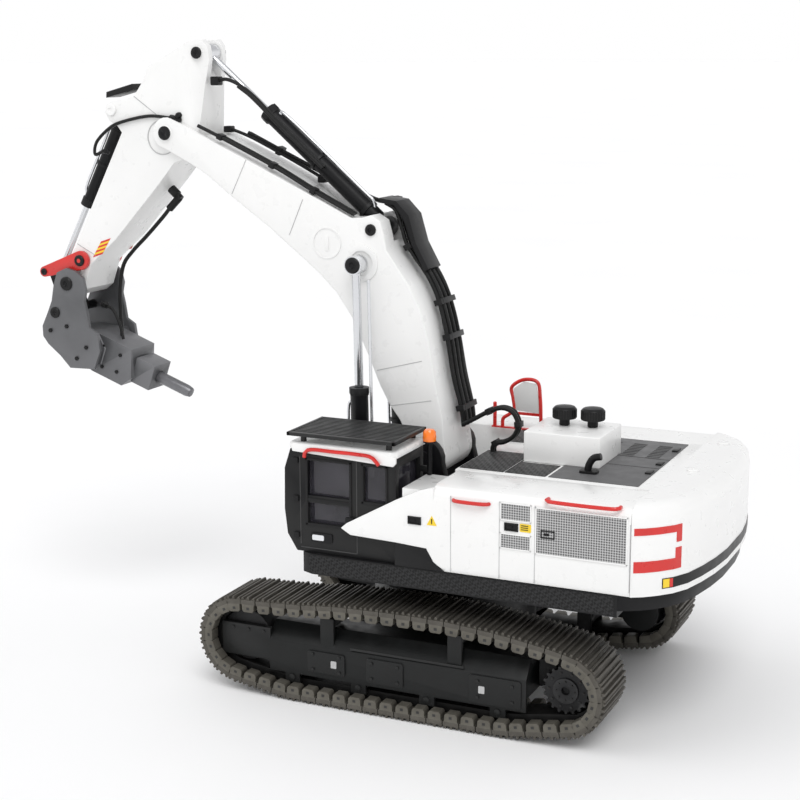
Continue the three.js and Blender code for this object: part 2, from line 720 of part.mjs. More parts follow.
function chisel() {
  const profile = [[0, 0], [4.4, 0], [4.4, 33], [3.6, 37], [0, 37]];
  return turned(profile, alongTool(71.2, 0), alongTool(90, 0), 0, 18);
}

// ---------- hoses ----------
// Four hoses laid side by side and clamped along the back and top of the boom.
function boomHoses() {
  const line = [
    [-6.5, 177], [-4.6, 190], [1, 212], [5.6, 239], [12, 263], [20.5, 280.5], [35, 300.5],
    [39.5, 313], [44, 325], [52, 330], [66, 329], [90, 338], [116, 349.6], [144, 362.4],
    [170, 374.2],
  ];
  const half = 2.2;
  const near = [];
  const far = [];
  line.forEach((p, i) => {
    const a = line[Math.max(i - 1, 0)];
    const b = line[Math.min(i + 1, line.length - 1)];
    const length = distance(a, b);
    const n = [-(b[1] - a[1]) / length, (b[0] - a[0]) / length];
    near.push([p[0] - n[0] * half, p[1] - n[1] * half]);
    far.push([p[0] + n[0] * half, p[1] + n[1] * half]);
  });
  return sidePlate([...near, ...far.reverse()], -23, -9.5);
}

function loopHose() {
  const y = 10;
  return hose(
    [
      [-9.9, y, 180.7], [-18.3, y, 185.4], [-28.6, y, 191.3], [-38.1, y, 194.5], [-46.1, y, 192],
      [-49.8, y, 184], [-47, y, 176], [-40, y, BODY_TOP + 8], [-33.5, y, BODY_TOP + 6.4],
      [-31.5, y, BODY_TOP + 3], [-31.5, y, BODY_TOP + 0.4],
    ],
    2.8,
    28,
  );
}

function stickHose() {
  return hose(
    [
      [209.6, 0, 349.4], [213.5, 0, 347.2], [223.6, 0, 336.1], [243, 0, 315.5],
      [262.6, 0, 294.4], [270, 0, 288], [279, 0, 280.4],
    ],
    2.2,
    24,
  );
}

// ---------- the machine ----------
addTracks();
add("carbody", carbody(), BLACK);
add("deck", deck(), BLACK);
add("side_body_left", sideBody(true), WHITE);
add("side_body_right", sideBody(false), WHITE);
add("counterweight", counterweight(), WHITE);
add("engine_hood", hood(), DARK);
add("air_box", box(-113, -60, -20, 28, BODY_TOP + GAP, AIR_BOX_TOP), WHITE);
add("pre_cleaner_front", preCleaner(-79, 0), BLACK);
add("pre_cleaner_rear", preCleaner(-98.5, -1.5), BLACK);
add("exhaust", exhaust(), BLACK);
add("guard_rail", guardRail(), RED);
add("grab_handle_front", grabHandle(-68, -44, 155.6, BODY_OUT + GAP), RED);
add("grab_handle_rear", grabHandle(-152, -106, 162.3, BODY_OUT - 3.6), RED);
add("cab_shell", cabShell(), BLACK);
add("cab_glass", cabGlass(), GLASS);
add("cab_roof", cabRoof(), WHITE);
add("roof_guard", roofGuard(), DARK);
add("cab_rail", cabRail(), RED);
add("seat", seat(), BLACK);
add("beacon", beacon(), ORANGE);
add("loop_hose", loopHose(), RUBBER);
add("boom", boom(), WHITE);
add("boom_hoses", boomHoses(), RUBBER);
add("lift_barrel_left", liftBarrel(LIFT_Y), BLACK);
add("lift_barrel_right", mirrored(liftBarrel(LIFT_Y)), BLACK);
const liftRod = cylinderRod(LIFT_BASE, LIFT_TOP, LIFT_Y, 3, 44, 6.5, 5.5);
add("lift_rod_left", liftRod, CHROME);
add("lift_rod_right", mirrored(liftRod), CHROME);
add("stick_barrel", barrel(STICK_CYL_BASE, STICK_CYL_TOP, 6.9, 2.9, STICK_BARREL, 7, 6.3), BLACK);
add("stick_rod", cylinderRod(STICK_CYL_BASE, STICK_CYL_TOP, 0, 2.5, 52, 6.4, 6), CHROME);
add("stick", stick(), WHITE);
add("stick_hose", stickHose(), RUBBER);
add("tilt_barrel", barrel(TILT_CYL_BASE, ROCKER_END, 5.3, 2.7, TILT_BARREL, 5.8, 6.2), BLACK);
add("tilt_rod", cylinderRod(TILT_CYL_BASE, ROCKER_END, 0, 2.3, 38, 4.6, 6), CHROME);
add("rocker_left", rocker(), RED);
add("rocker_right", mirrored(rocker()), RED);
add("link", link(), RED);
add("breaker_housing", breakerHousing(), GREY);
add("chisel", chisel(), GREY);

// The origin is moved to the middle of the box's underside.
const whole = new THREE.Box3().setFromObject(group);
for (const mesh of group.children) {
  mesh.position.set(
    -(whole.min.x + whole.max.x) / 2,
    -(whole.min.y + whole.max.y) / 2,
    -whole.min.z,
  );
}

export default group;
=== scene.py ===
import math

import bmesh
import bpy
from mathutils import Matrix, Vector


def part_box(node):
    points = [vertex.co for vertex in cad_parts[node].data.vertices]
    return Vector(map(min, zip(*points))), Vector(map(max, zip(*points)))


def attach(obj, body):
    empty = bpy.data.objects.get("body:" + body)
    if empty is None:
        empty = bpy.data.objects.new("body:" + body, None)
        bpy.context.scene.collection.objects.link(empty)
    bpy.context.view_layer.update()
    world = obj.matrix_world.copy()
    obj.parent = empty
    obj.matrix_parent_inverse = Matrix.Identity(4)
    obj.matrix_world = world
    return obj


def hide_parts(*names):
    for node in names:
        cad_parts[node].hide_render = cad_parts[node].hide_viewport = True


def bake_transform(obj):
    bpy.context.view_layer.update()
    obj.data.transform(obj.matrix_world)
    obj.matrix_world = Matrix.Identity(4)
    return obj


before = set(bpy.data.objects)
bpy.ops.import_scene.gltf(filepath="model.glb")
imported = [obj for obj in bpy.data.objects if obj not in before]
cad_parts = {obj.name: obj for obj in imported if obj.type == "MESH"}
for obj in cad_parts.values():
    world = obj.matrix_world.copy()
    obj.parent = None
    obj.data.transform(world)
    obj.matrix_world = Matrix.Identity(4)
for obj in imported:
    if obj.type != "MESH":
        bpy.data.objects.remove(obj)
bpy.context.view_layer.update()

MM = 0.001

# ---------- the machine's own millimetre frame ----------
# x forward and y left from the middle of the tracks, z up from the ground.
SPROCKET_X = -117
BOX_LOW, BOX_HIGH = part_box("sprocket_left")
_, LEFT_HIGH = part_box("track_shoes_left")
RIGHT_LOW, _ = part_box("track_shoes_right")
ORIGIN_X = (BOX_LOW.x + BOX_HIGH.x) / 2 - SPROCKET_X * MM
ORIGIN_Y = (LEFT_HIGH.y + RIGHT_LOW.y) / 2


def at(x, y, z):
    """A point of the machine in metres, in the shared frame."""
    return Vector((ORIGIN_X + x * MM, ORIGIN_Y + y * MM, z * MM))


# ---------- sizes shared with the frame ----------
BODY_TOP = 163
TRACK_OUT = 110
SHOE_WIDTH = 46
SHOE_PITCH = 11.6
SPROCKET = (-117, 36)
IDLER = (116, 38)
BOOM_HALF = 24
STICK_HALF = 19
LIFT_TOP = (61, 290)
LIFT_BASE = (58, 122)
STICK_PIN = (216, 375.5)
STICK_CYL_BASE = (54, 313)
STICK_CYL_TOP = (193, 431.5)
TILT_CYL_BASE = (265, 391)
ROCKER_PIN = (296, 280)
ROCKER_END = (329, 270)
BREAKER_PIN = (306.5, 262.5)
LINK_END = (318, 240)
SIDES = (("left", 1), ("right", -1))


def outward(side, near, far):
    """The y range from near to far on one side of the machine, lowest first."""
    return sorted((side * near, side * far))


# ---------- materials ----------
def node(tree, kind, **settings):
    made = tree.nodes.new(kind)
    for name, value in settings.items():
        setattr(made, name, value)
    return made


def noise(tree, coords, scale, detail=4.0, stretch=None):
    made = node(tree, "ShaderNodeTexNoise")
    made.inputs["Scale"].default_value = scale
    made.inputs["Detail"].default_value = detail
    source = coords
    if stretch:
        mapping = node(tree, "ShaderNodeMapping")
        mapping.inputs["Scale"].default_value = stretch
        tree.links.new(coords, mapping.inputs["Vector"])
        source = mapping.outputs["Vector"]
    tree.links.new(source, made.inputs["Vector"])
    return made


def ramp(tree, source, low, high, low_colour, high_colour):
    made = node(tree, "ShaderNodeValToRGB")
    made.color_ramp.elements[0].position = low
    made.color_ramp.elements[1].position = high
    made.color_ramp.elements[0].color = (*low_colour, 1)
    made.color_ramp.elements[1].color = (*high_colour, 1)
    tree.links.new(source, made.inputs["Fac"])
    return made


def spread(tree, source, low, high):
    made = node(tree, "ShaderNodeMapRange")
    made.inputs["From Min"].default_value = 0.3
    made.inputs["From Max"].default_value = 0.7
    made.inputs["To Min"].default_value = low
    made.inputs["To Max"].default_value = high
    tree.links.new(source, made.inputs["Value"])
    return made


def mix(tree, factor, first, second):
    made = node(tree, "ShaderNodeMix", data_type="RGBA")
    tree.links.new(factor, made.inputs[0])
    for socket, value in ((made.inputs[6], first), (made.inputs[7], second)):
        if isinstance(value, tuple):
            socket.default_value = (*value, 1)
        else:
            tree.links.new(value, socket)
    return made.outputs[2]


def finish(name, colour, rough, metallic=0.0, vary=0.12, grain=900, bump=0.06, worn=None,
           dust=None, coat=0.0, scratch=0.0, pattern=None, shine=0.5):
    """A procedural finish: mottled colour, uneven gloss, fine grain, worn edges and dust."""
    material = bpy.data.materials.new(name)
    material.use_nodes = True
    tree = material.node_tree
    shader = tree.nodes["Principled BSDF"]
    coords = node(tree, "ShaderNodeTexCoord").outputs["Object"]
    dark = tuple(c * (1 - vary) for c in colour)
    light = tuple(min(c * (1 + vary * 0.5), 1) for c in colour)
    broad = noise(tree, coords, 60)
    shade = ramp(tree, broad.outputs["Fac"], 0.3, 0.7, dark, light).outputs["Color"]
    fine = noise(tree, coords, grain, 6)
    height = fine.outputs["Fac"]
    if scratch:
        lines = noise(tree, coords, 400, 3, (0.12, 1.0, 1.0))
        scored = spread(tree, lines.outputs["Fac"], 0, scratch).outputs["Result"]
        shade = mix(tree, scored, shade, light)
    if worn:
        edges = node(tree, "ShaderNodeNewGeometry").outputs["Pointiness"]
        marks = ramp(tree, edges, 0.52, 0.6, (0, 0, 0), (1, 1, 1)).outputs["Color"]
        shade = mix(tree, marks, shade, worn)
    if dust:
        speck = noise(tree, coords, 140, 8)
        amount = spread(tree, speck.outputs["Fac"], 0, 0.35).outputs["Result"]
        shade = mix(tree, amount, shade, dust)
    if pattern:
        shade, height = pattern(tree, coords, shade, height)
    tree.links.new(shade, shader.inputs["Base Color"])
    gloss = spread(tree, noise(tree, coords, 120).outputs["Fac"], rough * 0.85, rough * 1.2)
    tree.links.new(gloss.outputs["Result"], shader.inputs["Roughness"])
    relief = node(tree, "ShaderNodeBump")
    relief.inputs["Strength"].default_value = bump
    relief.inputs["Distance"].default_value = 0.0002
    tree.links.new(height, relief.inputs["Height"])
    tree.links.new(relief.outputs["Normal"], shader.inputs["Normal"])
    shader.inputs["Metallic"].default_value = metallic
    shader.inputs["Specular IOR Level"].default_value = shine
    shader.inputs["Coat Weight"].default_value = coat
    shader.inputs["Coat Roughness"].default_value = 0.12
    return material


def tread(scale, first, second):
    """Raised chequer relief on plates that people stand on."""
    def build(tree, coords, shade, height):
        checker = node(tree, "ShaderNodeTexChecker")
        checker.inputs["Scale"].default_value = scale
        turn = node(tree, "ShaderNodeMapping")
        turn.inputs["Rotation"].default_value = (0.785, 0.785, 0.785)
        tree.links.new(coords, turn.inputs["Vector"])
        tree.links.new(turn.outputs["Vector"], checker.inputs["Vector"])
        colour = mix(tree, checker.outputs["Fac"], first, second)
        return colour, checker.outputs["Fac"]
    return build


def mesh_holes(scale, hole_shade, metal):
    """Round perforations in a sheet, drawn as dots whose dark colour is painted shade inside them."""
    def build(tree, coords, shade, height):
        cells = node(tree, "ShaderNodeTexVoronoi")
        cells.inputs["Scale"].default_value = scale
        cells.inputs["Randomness"].default_value = 0.0
        tree.links.new(coords, cells.inputs["Vector"])
        # The first colour is painted shade inside the perforations; the second is the sheet's own
        # colour.
        made = ramp(tree, cells.outputs["Distance"], 0.36, 0.44, hole_shade, metal)
        return made.outputs["Color"], cells.outputs["Distance"]
    return build


def braid(scale):
    """The fine ribbing of a hydraulic hose."""
    def build(tree, coords, shade, height):
        wave = node(tree, "ShaderNodeTexWave")
        wave.inputs["Scale"].default_value = scale
        wave.inputs["Distortion"].default_value = 1.5
        tree.links.new(coords, wave.inputs["Vector"])
        return shade, wave.outputs["Fac"]
    return build


WHITE = finish("white_enamel", (0.84, 0.84, 0.83), 0.3, vary=0.012, bump=0.02, coat=0.25)
BLACK = finish(
    "satin_black", (0.006, 0.006, 0.007), 0.36, vary=0.3, bump=0.2, worn=(0.016, 0.016, 0.016),
    shine=0.22,
)
FRAME = finish(
    "black_frame", (0.005, 0.006, 0.006), 0.4, vary=0.4, bump=0.3, worn=(0.03, 0.03, 0.03),
    dust=(0.01, 0.01, 0.01), shine=0.3,
)
TRACK = finish(
    "worn_track", (0.04, 0.036, 0.031), 0.5, metallic=0.4, vary=0.4, grain=700, bump=0.6,
    worn=(0.16, 0.15, 0.13), dust=(0.028, 0.023, 0.018), scratch=0.4, shine=0.35,
)
LUG = finish(
    "track_lug", (0.085, 0.078, 0.066), 0.5, metallic=0.35, vary=0.35, grain=700, bump=0.6,
    worn=(0.2, 0.19, 0.16), dust=(0.05, 0.043, 0.034), shine=0.35,
)
CHAIN = finish(
    "black_chain", (0.008, 0.008, 0.008), 0.5, metallic=0.3, vary=0.4, bump=0.5,
    worn=(0.05, 0.05, 0.05), dust=(0.015, 0.013, 0.011), shine=0.3,
)
CAST = finish(
    "dark_casting", (0.014, 0.014, 0.015), 0.45, metallic=0.3, vary=0.3, grain=600, bump=0.7,
    worn=(0.07, 0.07, 0.07), shine=0.35,
)
GREY = finish(
    "breaker_grey", (0.105, 0.107, 0.112), 0.4, metallic=0.25, vary=0.16, grain=800, bump=0.35,
    worn=(0.22, 0.22, 0.23),
)
STEEL = finish(
    "chisel_steel", (0.19, 0.19, 0.2), 0.35, metallic=0.6, vary=0.2, bump=0.2, scratch=0.3,
)
PLATE = finish("pale_plate", (0.72, 0.72, 0.71), 0.35, vary=0.05, bump=0.05)
RED = finish("red_enamel", (0.62, 0.018, 0.014), 0.3, vary=0.12, bump=0.08, coat=0.3)
CHROME = finish(
    "polished_rod", (0.72, 0.73, 0.75), 0.14, metallic=1.0, vary=0.06, bump=0.03, scratch=0.25,
)
HOSE = finish(
    "hose_rubber", (0.006, 0.006, 0.006), 0.42, vary=0.3, bump=0.5, pattern=braid(380), shine=0.3,
)
SEAM = finish("seam_shadow", (0.05, 0.05, 0.05), 0.7, vary=0.3, bump=0.1)
# Grey for panel seams and tags; on the raised lines of the boom and stick it is painted shade along
# creases.
PALE_SEAM_AND_CREASE_SHADE = finish("pale_seam_and_crease_shade", (0.5, 0.5, 0.5), 0.5, vary=0.15, bump=0.1)
# In the grille and hood finishes below, the darker colour given to the perforation pattern is painted
# shade inside the perforations.
GRILLE = finish(
    "grille_mesh", (0.3, 0.3, 0.3), 0.45, metallic=0.2, bump=0.7,
    pattern=mesh_holes(620, (0.12, 0.12, 0.12), (0.5, 0.5, 0.5)),
)
HOOD = finish(
    "hood_mesh", (0.1, 0.1, 0.1), 0.5, metallic=0.1, bump=0.6, shine=0.35,
    pattern=mesh_holes(560, (0.02, 0.02, 0.02), (0.12, 0.12, 0.122)),
)
WALKWAY = finish(
    "walkway", (0.1, 0.1, 0.1), 0.55, bump=0.7,
    pattern=tread(520, (0.015, 0.015, 0.015), (0.07, 0.07, 0.07)), shine=0.35,
)
SKIRT = finish(
    "chequered_skirt", (0.03, 0.03, 0.03), 0.45, bump=0.8,
    pattern=tread(620, (0.004, 0.004, 0.004), (0.02, 0.02, 0.021)), shine=0.3,
)
SEAT = finish("seat_vinyl", (0.03, 0.028, 0.027), 0.6, vary=0.3, grain=1400, bump=0.7)
YELLOW = finish("yellow_label", (0.85, 0.6, 0.03), 0.4, vary=0.06, bump=0.03)
ORANGE = finish("orange_lens", (0.95, 0.2, 0.01), 0.18, vary=0.1, bump=0.05, coat=0.6)
LENS = finish("clear_lens", (0.75, 0.76, 0.78), 0.12, vary=0.08, bump=0.2, coat=0.6)


def smoked_window_with_painted_sheen():
    """Smoked clear plastic with a thin coloured sheen painted into its colour as a reflection."""
    # The dark smoke is the plastic's own tint; the purple-grey cast is a painted reflection.
    material = finish("smoked_window_painted_sheen", (0.05, 0.047, 0.058), 0.06, vary=0.5, bump=0.01)
    shader = material.node_tree.nodes["Principled BSDF"]
    shader.inputs["Alpha"].default_value = 0.72
    shader.inputs["IOR"].default_value = 1.55
    return material


GLASS = smoked_window_with_painted_sheen()


# ---------- building pieces ----------
def heading(path, i):
    """The way a path runs at one of its points."""
    before = path[max(i - 1, 0)]
    after = path[min(i + 1, len(path) - 1)]
    return (after - before).normalized()


def smooth_path(points, per_leg=6):
    """A Catmull-Rom curve through the points."""
    points = [Vector(p) for p in points]
    padded = [2 * points[0] - points[1], *points, 2 * points[-1] - points[-2]]
    out = []
    for i in range(1, len(padded) - 2):
        a, b, c, d = padded[i - 1 : i + 3]
        for k in range(per_leg):
            t = k / per_leg
            out.append(
                0.5 * ((2 * b) + (c - a) * t + (2 * a - 5 * b + 4 * c - d) * t**2
                       + (3 * b - a - 3 * c + d) * t**3)
            )
    return [*out, points[-1]]


class Piece:
    """Closed solids gathered into one mesh, in machine millimetres."""

    def __init__(self):
        self.verts = []
        self.faces = []

    def add(self, verts, faces):
        base = len(self.verts)
        self.verts += [Vector(v) for v in verts]
        self.faces += [tuple(base + i for i in f) for f in faces]
        return self

    def loft(self, low, high):
        count = len(low)
        faces = [tuple(range(count)), tuple(range(count, 2 * count))]
        for i in range(count):
            j = (i + 1) % count
            faces.append((i, j, count + j, count + i))
        return self.add([*low, *high], faces)

    def plate(self, outline, y0, y1):
        return self.loft([(x, y0, z) for x, z in outline], [(x, y1, z) for x, z in outline])

    def slab(self, outline, z0, z1):
        return self.loft([(x, y, z0) for x, y in outline], [(x, y, z1) for x, y in outline])

    def box(self, x0, x1, y0, y1, z0, z1):
        return self.plate([(x0, z0), (x1, z0), (x1, z1), (x0, z1)], y0, y1)

    def disc(self, pin, r, y0, y1, sides=28):
        return self.plate(circle(pin, r, sides), y0, y1)

    def knob(self, pin, r, face, proud, side=1, sides=28):
        """A pin cap with a chamfered rim and a small centre dimple, standing on a face."""
        turned = [(0, 0), (r, 0), (r, proud * 0.6), (r * 0.86, proud), (r * 0.4, proud)]
        turned += [(r * 0.3, proud * 0.6), (0, proud * 0.6)]
        return self.turn(turned, (pin[0], face, pin[1]), (0, side, 0), sides)

    def turn(self, profile, base, way, sides=24):
        """A profile of (radius, distance) turned about the line from base along way."""
        spin = Vector((0, 0, 1)).rotation_difference(Vector(way).normalized())
        base = Vector(base)
        rings = []
        verts = []
        for r, d in profile:
            if r < 1e-6:
                rings.append([len(verts)])
                verts.append(base + spin @ Vector((0, 0, d)))
                continue
            rings.append(list(range(len(verts), len(verts) + sides)))
            for k in range(sides):
                a = 2 * math.pi * k / sides
                verts.append(base + spin @ Vector((r * math.cos(a), r * math.sin(a), d)))
        faces = []
        for low, high in zip(rings, rings[1:]):
            for k in range(sides):
                m = (k + 1) % sides
                if len(low) == 1:
                    faces.append((low[0], high[m], high[k]))
                elif len(high) == 1:
                    faces.append((low[k], low[m], high[0]))
                else:
                    faces.append((low[k], low[m], high[m], high[k]))
        return self.add(verts, faces)

    def tube(self, points, r, sides=12, per_leg=6, smooth=True):
        path = smooth_path(points, per_leg) if smooth else [Vector(p) for p in points]
        side = None
        rings = []
        verts = []
        for i, p in enumerate(path):
            way = heading(path, i)
            if side is None:
                side = way.orthogonal().normalized()
            side = (side - way * side.dot(way)).normalized()
            other = way.cross(side)
            rings.append(range(len(verts), len(verts) + sides))
            for k in range(sides):
                a = 2 * math.pi * k / sides
                verts.append(p + side * (r * math.cos(a)) + other * (r * math.sin(a)))
        faces = [tuple(rings[0]), tuple(rings[-1])]
        for low, high in zip(rings, rings[1:]):
            for k in range(sides):
                m = (k + 1) % sides
                faces.append((low[k], low[m], high[m], high[k]))
        return self.add(verts, faces)

    def build(self, name, material, body, slot, bevel=0.0):
        mesh = bpy.data.meshes.new(name)
        mesh.from_pydata([at(*v) for v in self.verts], [], self.faces)
        made = bpy.data.objects.new(name, mesh)
        bpy.context.scene.collection.objects.link(made)
        tidy_mesh(made, bevel)
        mesh.materials.append(material)
        if body:
            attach(made, body)
        return made


def circle(pin, r, sides=28, start=0.0):
    out = []
    for k in range(sides):
        a = start + 2 * math.pi * k / sides
        out.append((pin[0] + r * math.cos(a), pin[1] + r * math.sin(a)))
    return out


def tidy_mesh(made, bevel, join=False):
    """Faces point outwards, edges are rounded by bevel millimetres, and curves shade smoothly."""
    work = bmesh.new()
    work.from_mesh(made.data)
    if join:
        bmesh.ops.remove_doubles(work, verts=work.verts, dist=0.002 * MM)
        bmesh.ops.dissolve_limit(
            work, angle_limit=math.radians(0.6), verts=work.verts, edges=work.edges,
        )
    bmesh.ops.recalc_face_normals(work, faces=work.faces)
    if bevel:
        sharp = [
            e for e in work.edges
            if len(e.link_faces) == 2 and e.calc_face_angle(0) > math.radians(32)
        ]
        bmesh.ops.bevel(
            work, geom=sharp, offset=bevel * MM, offset_type="OFFSET", segments=2, profile=0.6,
            affect="EDGES", clamp_overlap=True,
        )
    work.to_mesh(made.data)
    work.free()
    made.data.shade_smooth()
    made.data.set_sharp_from_angle(angle=math.radians(38))


def rounded(name, material, body, bevel=0.4):
    """The same solid as a CAD node, with its edges rounded and its real finish."""
    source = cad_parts[name]
    made = bpy.data.objects.new(name + "_finished", source.data.copy())
    bpy.context.scene.collection.objects.link(made)
    made.data.materials.clear()
    tidy_mesh(made, bevel, join=True)
    made.data.materials.append(material)
    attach(made, body)
    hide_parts(name)
    return made


# ---------- tracks ----------
def track_path():
    def arc(centre, r, start, stop, steps):
        out = []
        for i in range(steps + 1):
            a = math.radians(start + (stop - start) * i / steps)
            out.append((centre[0] + r * math.cos(a), centre[1] + r * math.sin(a)))
        return out
    front = arc(IDLER, 32, -80, 100, 18)
    top = [(67, 72), (45, 74.4), (15, 75.6), (-13, 76.2), (-41, 75.8), (-76, 72.8), (-103, 69)]
    rear = arc(SPROCKET, 30, 100, 250, 15)
    return [(-77, 0), (79, 0), *front, *top, *rear]


def track_joints():
    """Equal steps round the closed path, one for each shoe."""
    path = track_path()
    legs = [math.dist(p, path[(i + 1) % len(path)]) for i, p in enumerate(path)]
    total = sum(legs)
    count = round(total / SHOE_PITCH)
    out = []
    leg = 0
    start = 0.0
    for i in range(count):
        spot = total * (i + 0.5) / count
        while spot > start + legs[leg]:
            start += legs[leg]
            leg += 1
        k = (spot - start) / legs[leg]
        a = path[leg]
        b = path[(leg + 1) % len(path)]
        out.append((a[0] + k * (b[0] - a[0]), a[1] + k * (b[1] - a[1])))
    return out


def shoe_frame(a, b):
    """Turns (along, depth) on one shoe into x and z of the side view."""
    length = math.dist(a, b)
    ux = (b[0] - a[0]) / length
    uz = (b[1] - a[1]) / length
    def place(s, d):
        return (a[0] + ux * s * length - uz * d, a[1] + uz * s * length + ux * d)
    return place


def patch(place, s0, s1, d0, d1):
    return [place(s0, d0), place(s1, d0), place(s1, d1), place(s0, d1)]


def build_shoes(word, side):
    """Every shoe of one track, with its grousers, bolts and lugs, and near-black patches on the lugs
    that are painted shade for the pockets in them.
    """
    shoes = Piece()
    lugs = Piece()
    inner = TRACK_OUT - SHOE_WIDTH
    joints = track_joints()
    for i, a in enumerate(joints):
        place = shoe_frame(a, joints[(i + 1) % len(joints)])
        def part(s0, s1, d0, d1, y0, y1):
            shoes.plate(patch(place, s0, s1, d0, d1), *outward(side, y0, y1))
        part(0.03, 0.97, 2.4, 5.6, inner, TRACK_OUT)
        for s0, s1, low in ((0.04, 0.24, 0.8), (0.4, 0.6, 0.2), (0.76, 0.96, 0.8)):
            grouser = [place(s0, 2.5), place(s0 + 0.04, low), place(s1 - 0.04, low), place(s1, 2.5)]
            shoes.plate(grouser, *outward(side, inner + 0.6, TRACK_OUT - 0.6))
        for y in (inner, TRACK_OUT - 8):
            outline = [place(0.1, 5.4), place(0.9, 5.4), place(0.88, 9.6), place(0.78, 11),
                       place(0.22, 11), place(0.12, 9.6)]
            lugs.plate(outline, *outward(side, y, y + 8))
        for y in (inner + 14, TRACK_OUT - 15):
            for s in (0.2, 0.8):
                part(s - 0.07, s + 0.07, 2.0, 3.5, y - 1.3, y + 1.3)
    made = shoes.build("track_shoes_detail_" + word, TRACK, "undercarriage", "track_metal", 0.25)
    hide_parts("track_shoes_" + word)
    lugs.build("track_lugs_" + word, LUG, "undercarriage", "track_metal", 0.3)
    # Near-black plates on the outer lug ends: painted shade standing for the pockets in the lugs.
    pocket_shade = Piece()
    for i, a in enumerate(joints):
        place = shoe_frame(a, joints[(i + 1) % len(joints)])
        pocket_shade.plate(patch(place, 0.42, 0.6, 7.4, 9.2), *outward(side, TRACK_OUT - 1, TRACK_OUT + 0.1))
    pocket_shade.build("track_pocket_shade_" + word, CHAIN, "undercarriage", "chain_metal")


def build_tracks():
    for word, side in SIDES:
        build_shoes(word, side)
        rounded("track_chain_" + word, CHAIN, "undercarriage", 0.2)
        rounded("track_frame_" + word, FRAME, "undercarriage", 0.6)
        rounded("sprocket_" + word, CAST, "sprocket_" + word, 0.3)
        rounded("idler_" + word, CAST, "idler_" + word, 0.5)
        for i in range(1, 5):
            name = f"bottom_roller_{i}_{word}"
            rounded(name, CAST, name, 0.3)
        for i in range(1, 3):
            name = f"carrier_roller_{i}_{word}"
            rounded(name, CAST, name, 0.3)
        frame_details(word, side)
        wheel_details(word, side)
    rounded("carbody", FRAME, "undercarriage", 0.6)


def frame_details(word, side):
    """Cast boxes, bolt heads and covers on the outer face of a track frame."""
    face = 101.8
    parts = Piece()
    for x0, x1, z0, z1 in ((-5, 22, 20, 37), (-88, -52, 19, 38), (38, 66, 21, 36)):
        parts.plate(rounded_rectangle(x0, x1, z0, z1, 2), *outward(side, face, face + 1.2))
    parts.box(-48, 34, *outward(side, face, face + 0.6), 40.5, 42.2)
    for x in (-82, -58, -1, 18, 42, 62):
        for z in (23, 34):
            parts.plate(circle((x, z), 1.3, 6), *outward(side, face + 1.1, face + 2))
    for x in (100, 112, 124):
        parts.plate(circle((x, 44), 1.2, 6), *outward(side, face, face + 0.9))
    for x in (78.3, 28.4, -21.6, -71.6):
        parts.disc((x, 14.6), 2.1, *outward(side, face, face + 1.0), 18)
    parts.build("track_frame_covers_" + word, FRAME, "undercarriage", "black_plastic", 0.25)
    tag = Piece()
    for x in (-63, 44):
        tag.plate(rounded_rectangle(x, x + 4.2, 26, 31, 0.6), *outward(side, face + 1.2, face + 1.5))
    tag.build("frame_tags_" + word, PALE_SEAM_AND_CREASE_SHADE, "undercarriage", "white_paint")


def wheel_details(word, side):
    hub = Piece()
    for r, count, size in ((6.2, 8, 0.75), (11.6, 10, 1.0)):
        for k in range(count):
            a = 2 * math.pi * k / count
            spot = (SPROCKET[0] + r * math.cos(a), SPROCKET[1] + r * math.sin(a))
            face = 100.5 if r < 8 else 98.9
            hub.plate(circle(spot, size, 6), *outward(side, face, face + 0.7))
    hub.build("sprocket_bolts_" + word, CHAIN, "sprocket_" + word, "grey_metal", 0.1)
    cap = Piece()
    cap.knob(IDLER, 8, side * 96.4, 1.4, side)
    cap.build("idler_cap_" + word, CAST, "idler_" + word, "grey_metal")


def rounded_rectangle(x0, x1, z0, z1, r, steps=4):
    out = []
    for cx, cz, start in ((x1 - r, z1 - r, 0), (x0 + r, z1 - r, 90), (x0 + r, z0 + r, 180),
                          (x1 - r, z0 + r, 270)):
        for k in range(steps + 1):
            a = math.radians(start + 90 * k / steps)
            out.append((cx + r * math.cos(a), cz + r * math.sin(a)))
    return out


# ---------- house ----------
def framed(piece, x0, x1, z0, z1, y0, y1, wide):
    """A thin picture frame on a side face."""
    piece.box(x0, x1, y0, y1, z0, z0 + wide)
    piece.box(x0, x1, y0, y1, z1 - wide, z1)
    piece.box(x0, x0 + wide, y0, y1, z0, z1)
    piece.box(x1 - wide, x1, y0, y1, z0, z1)


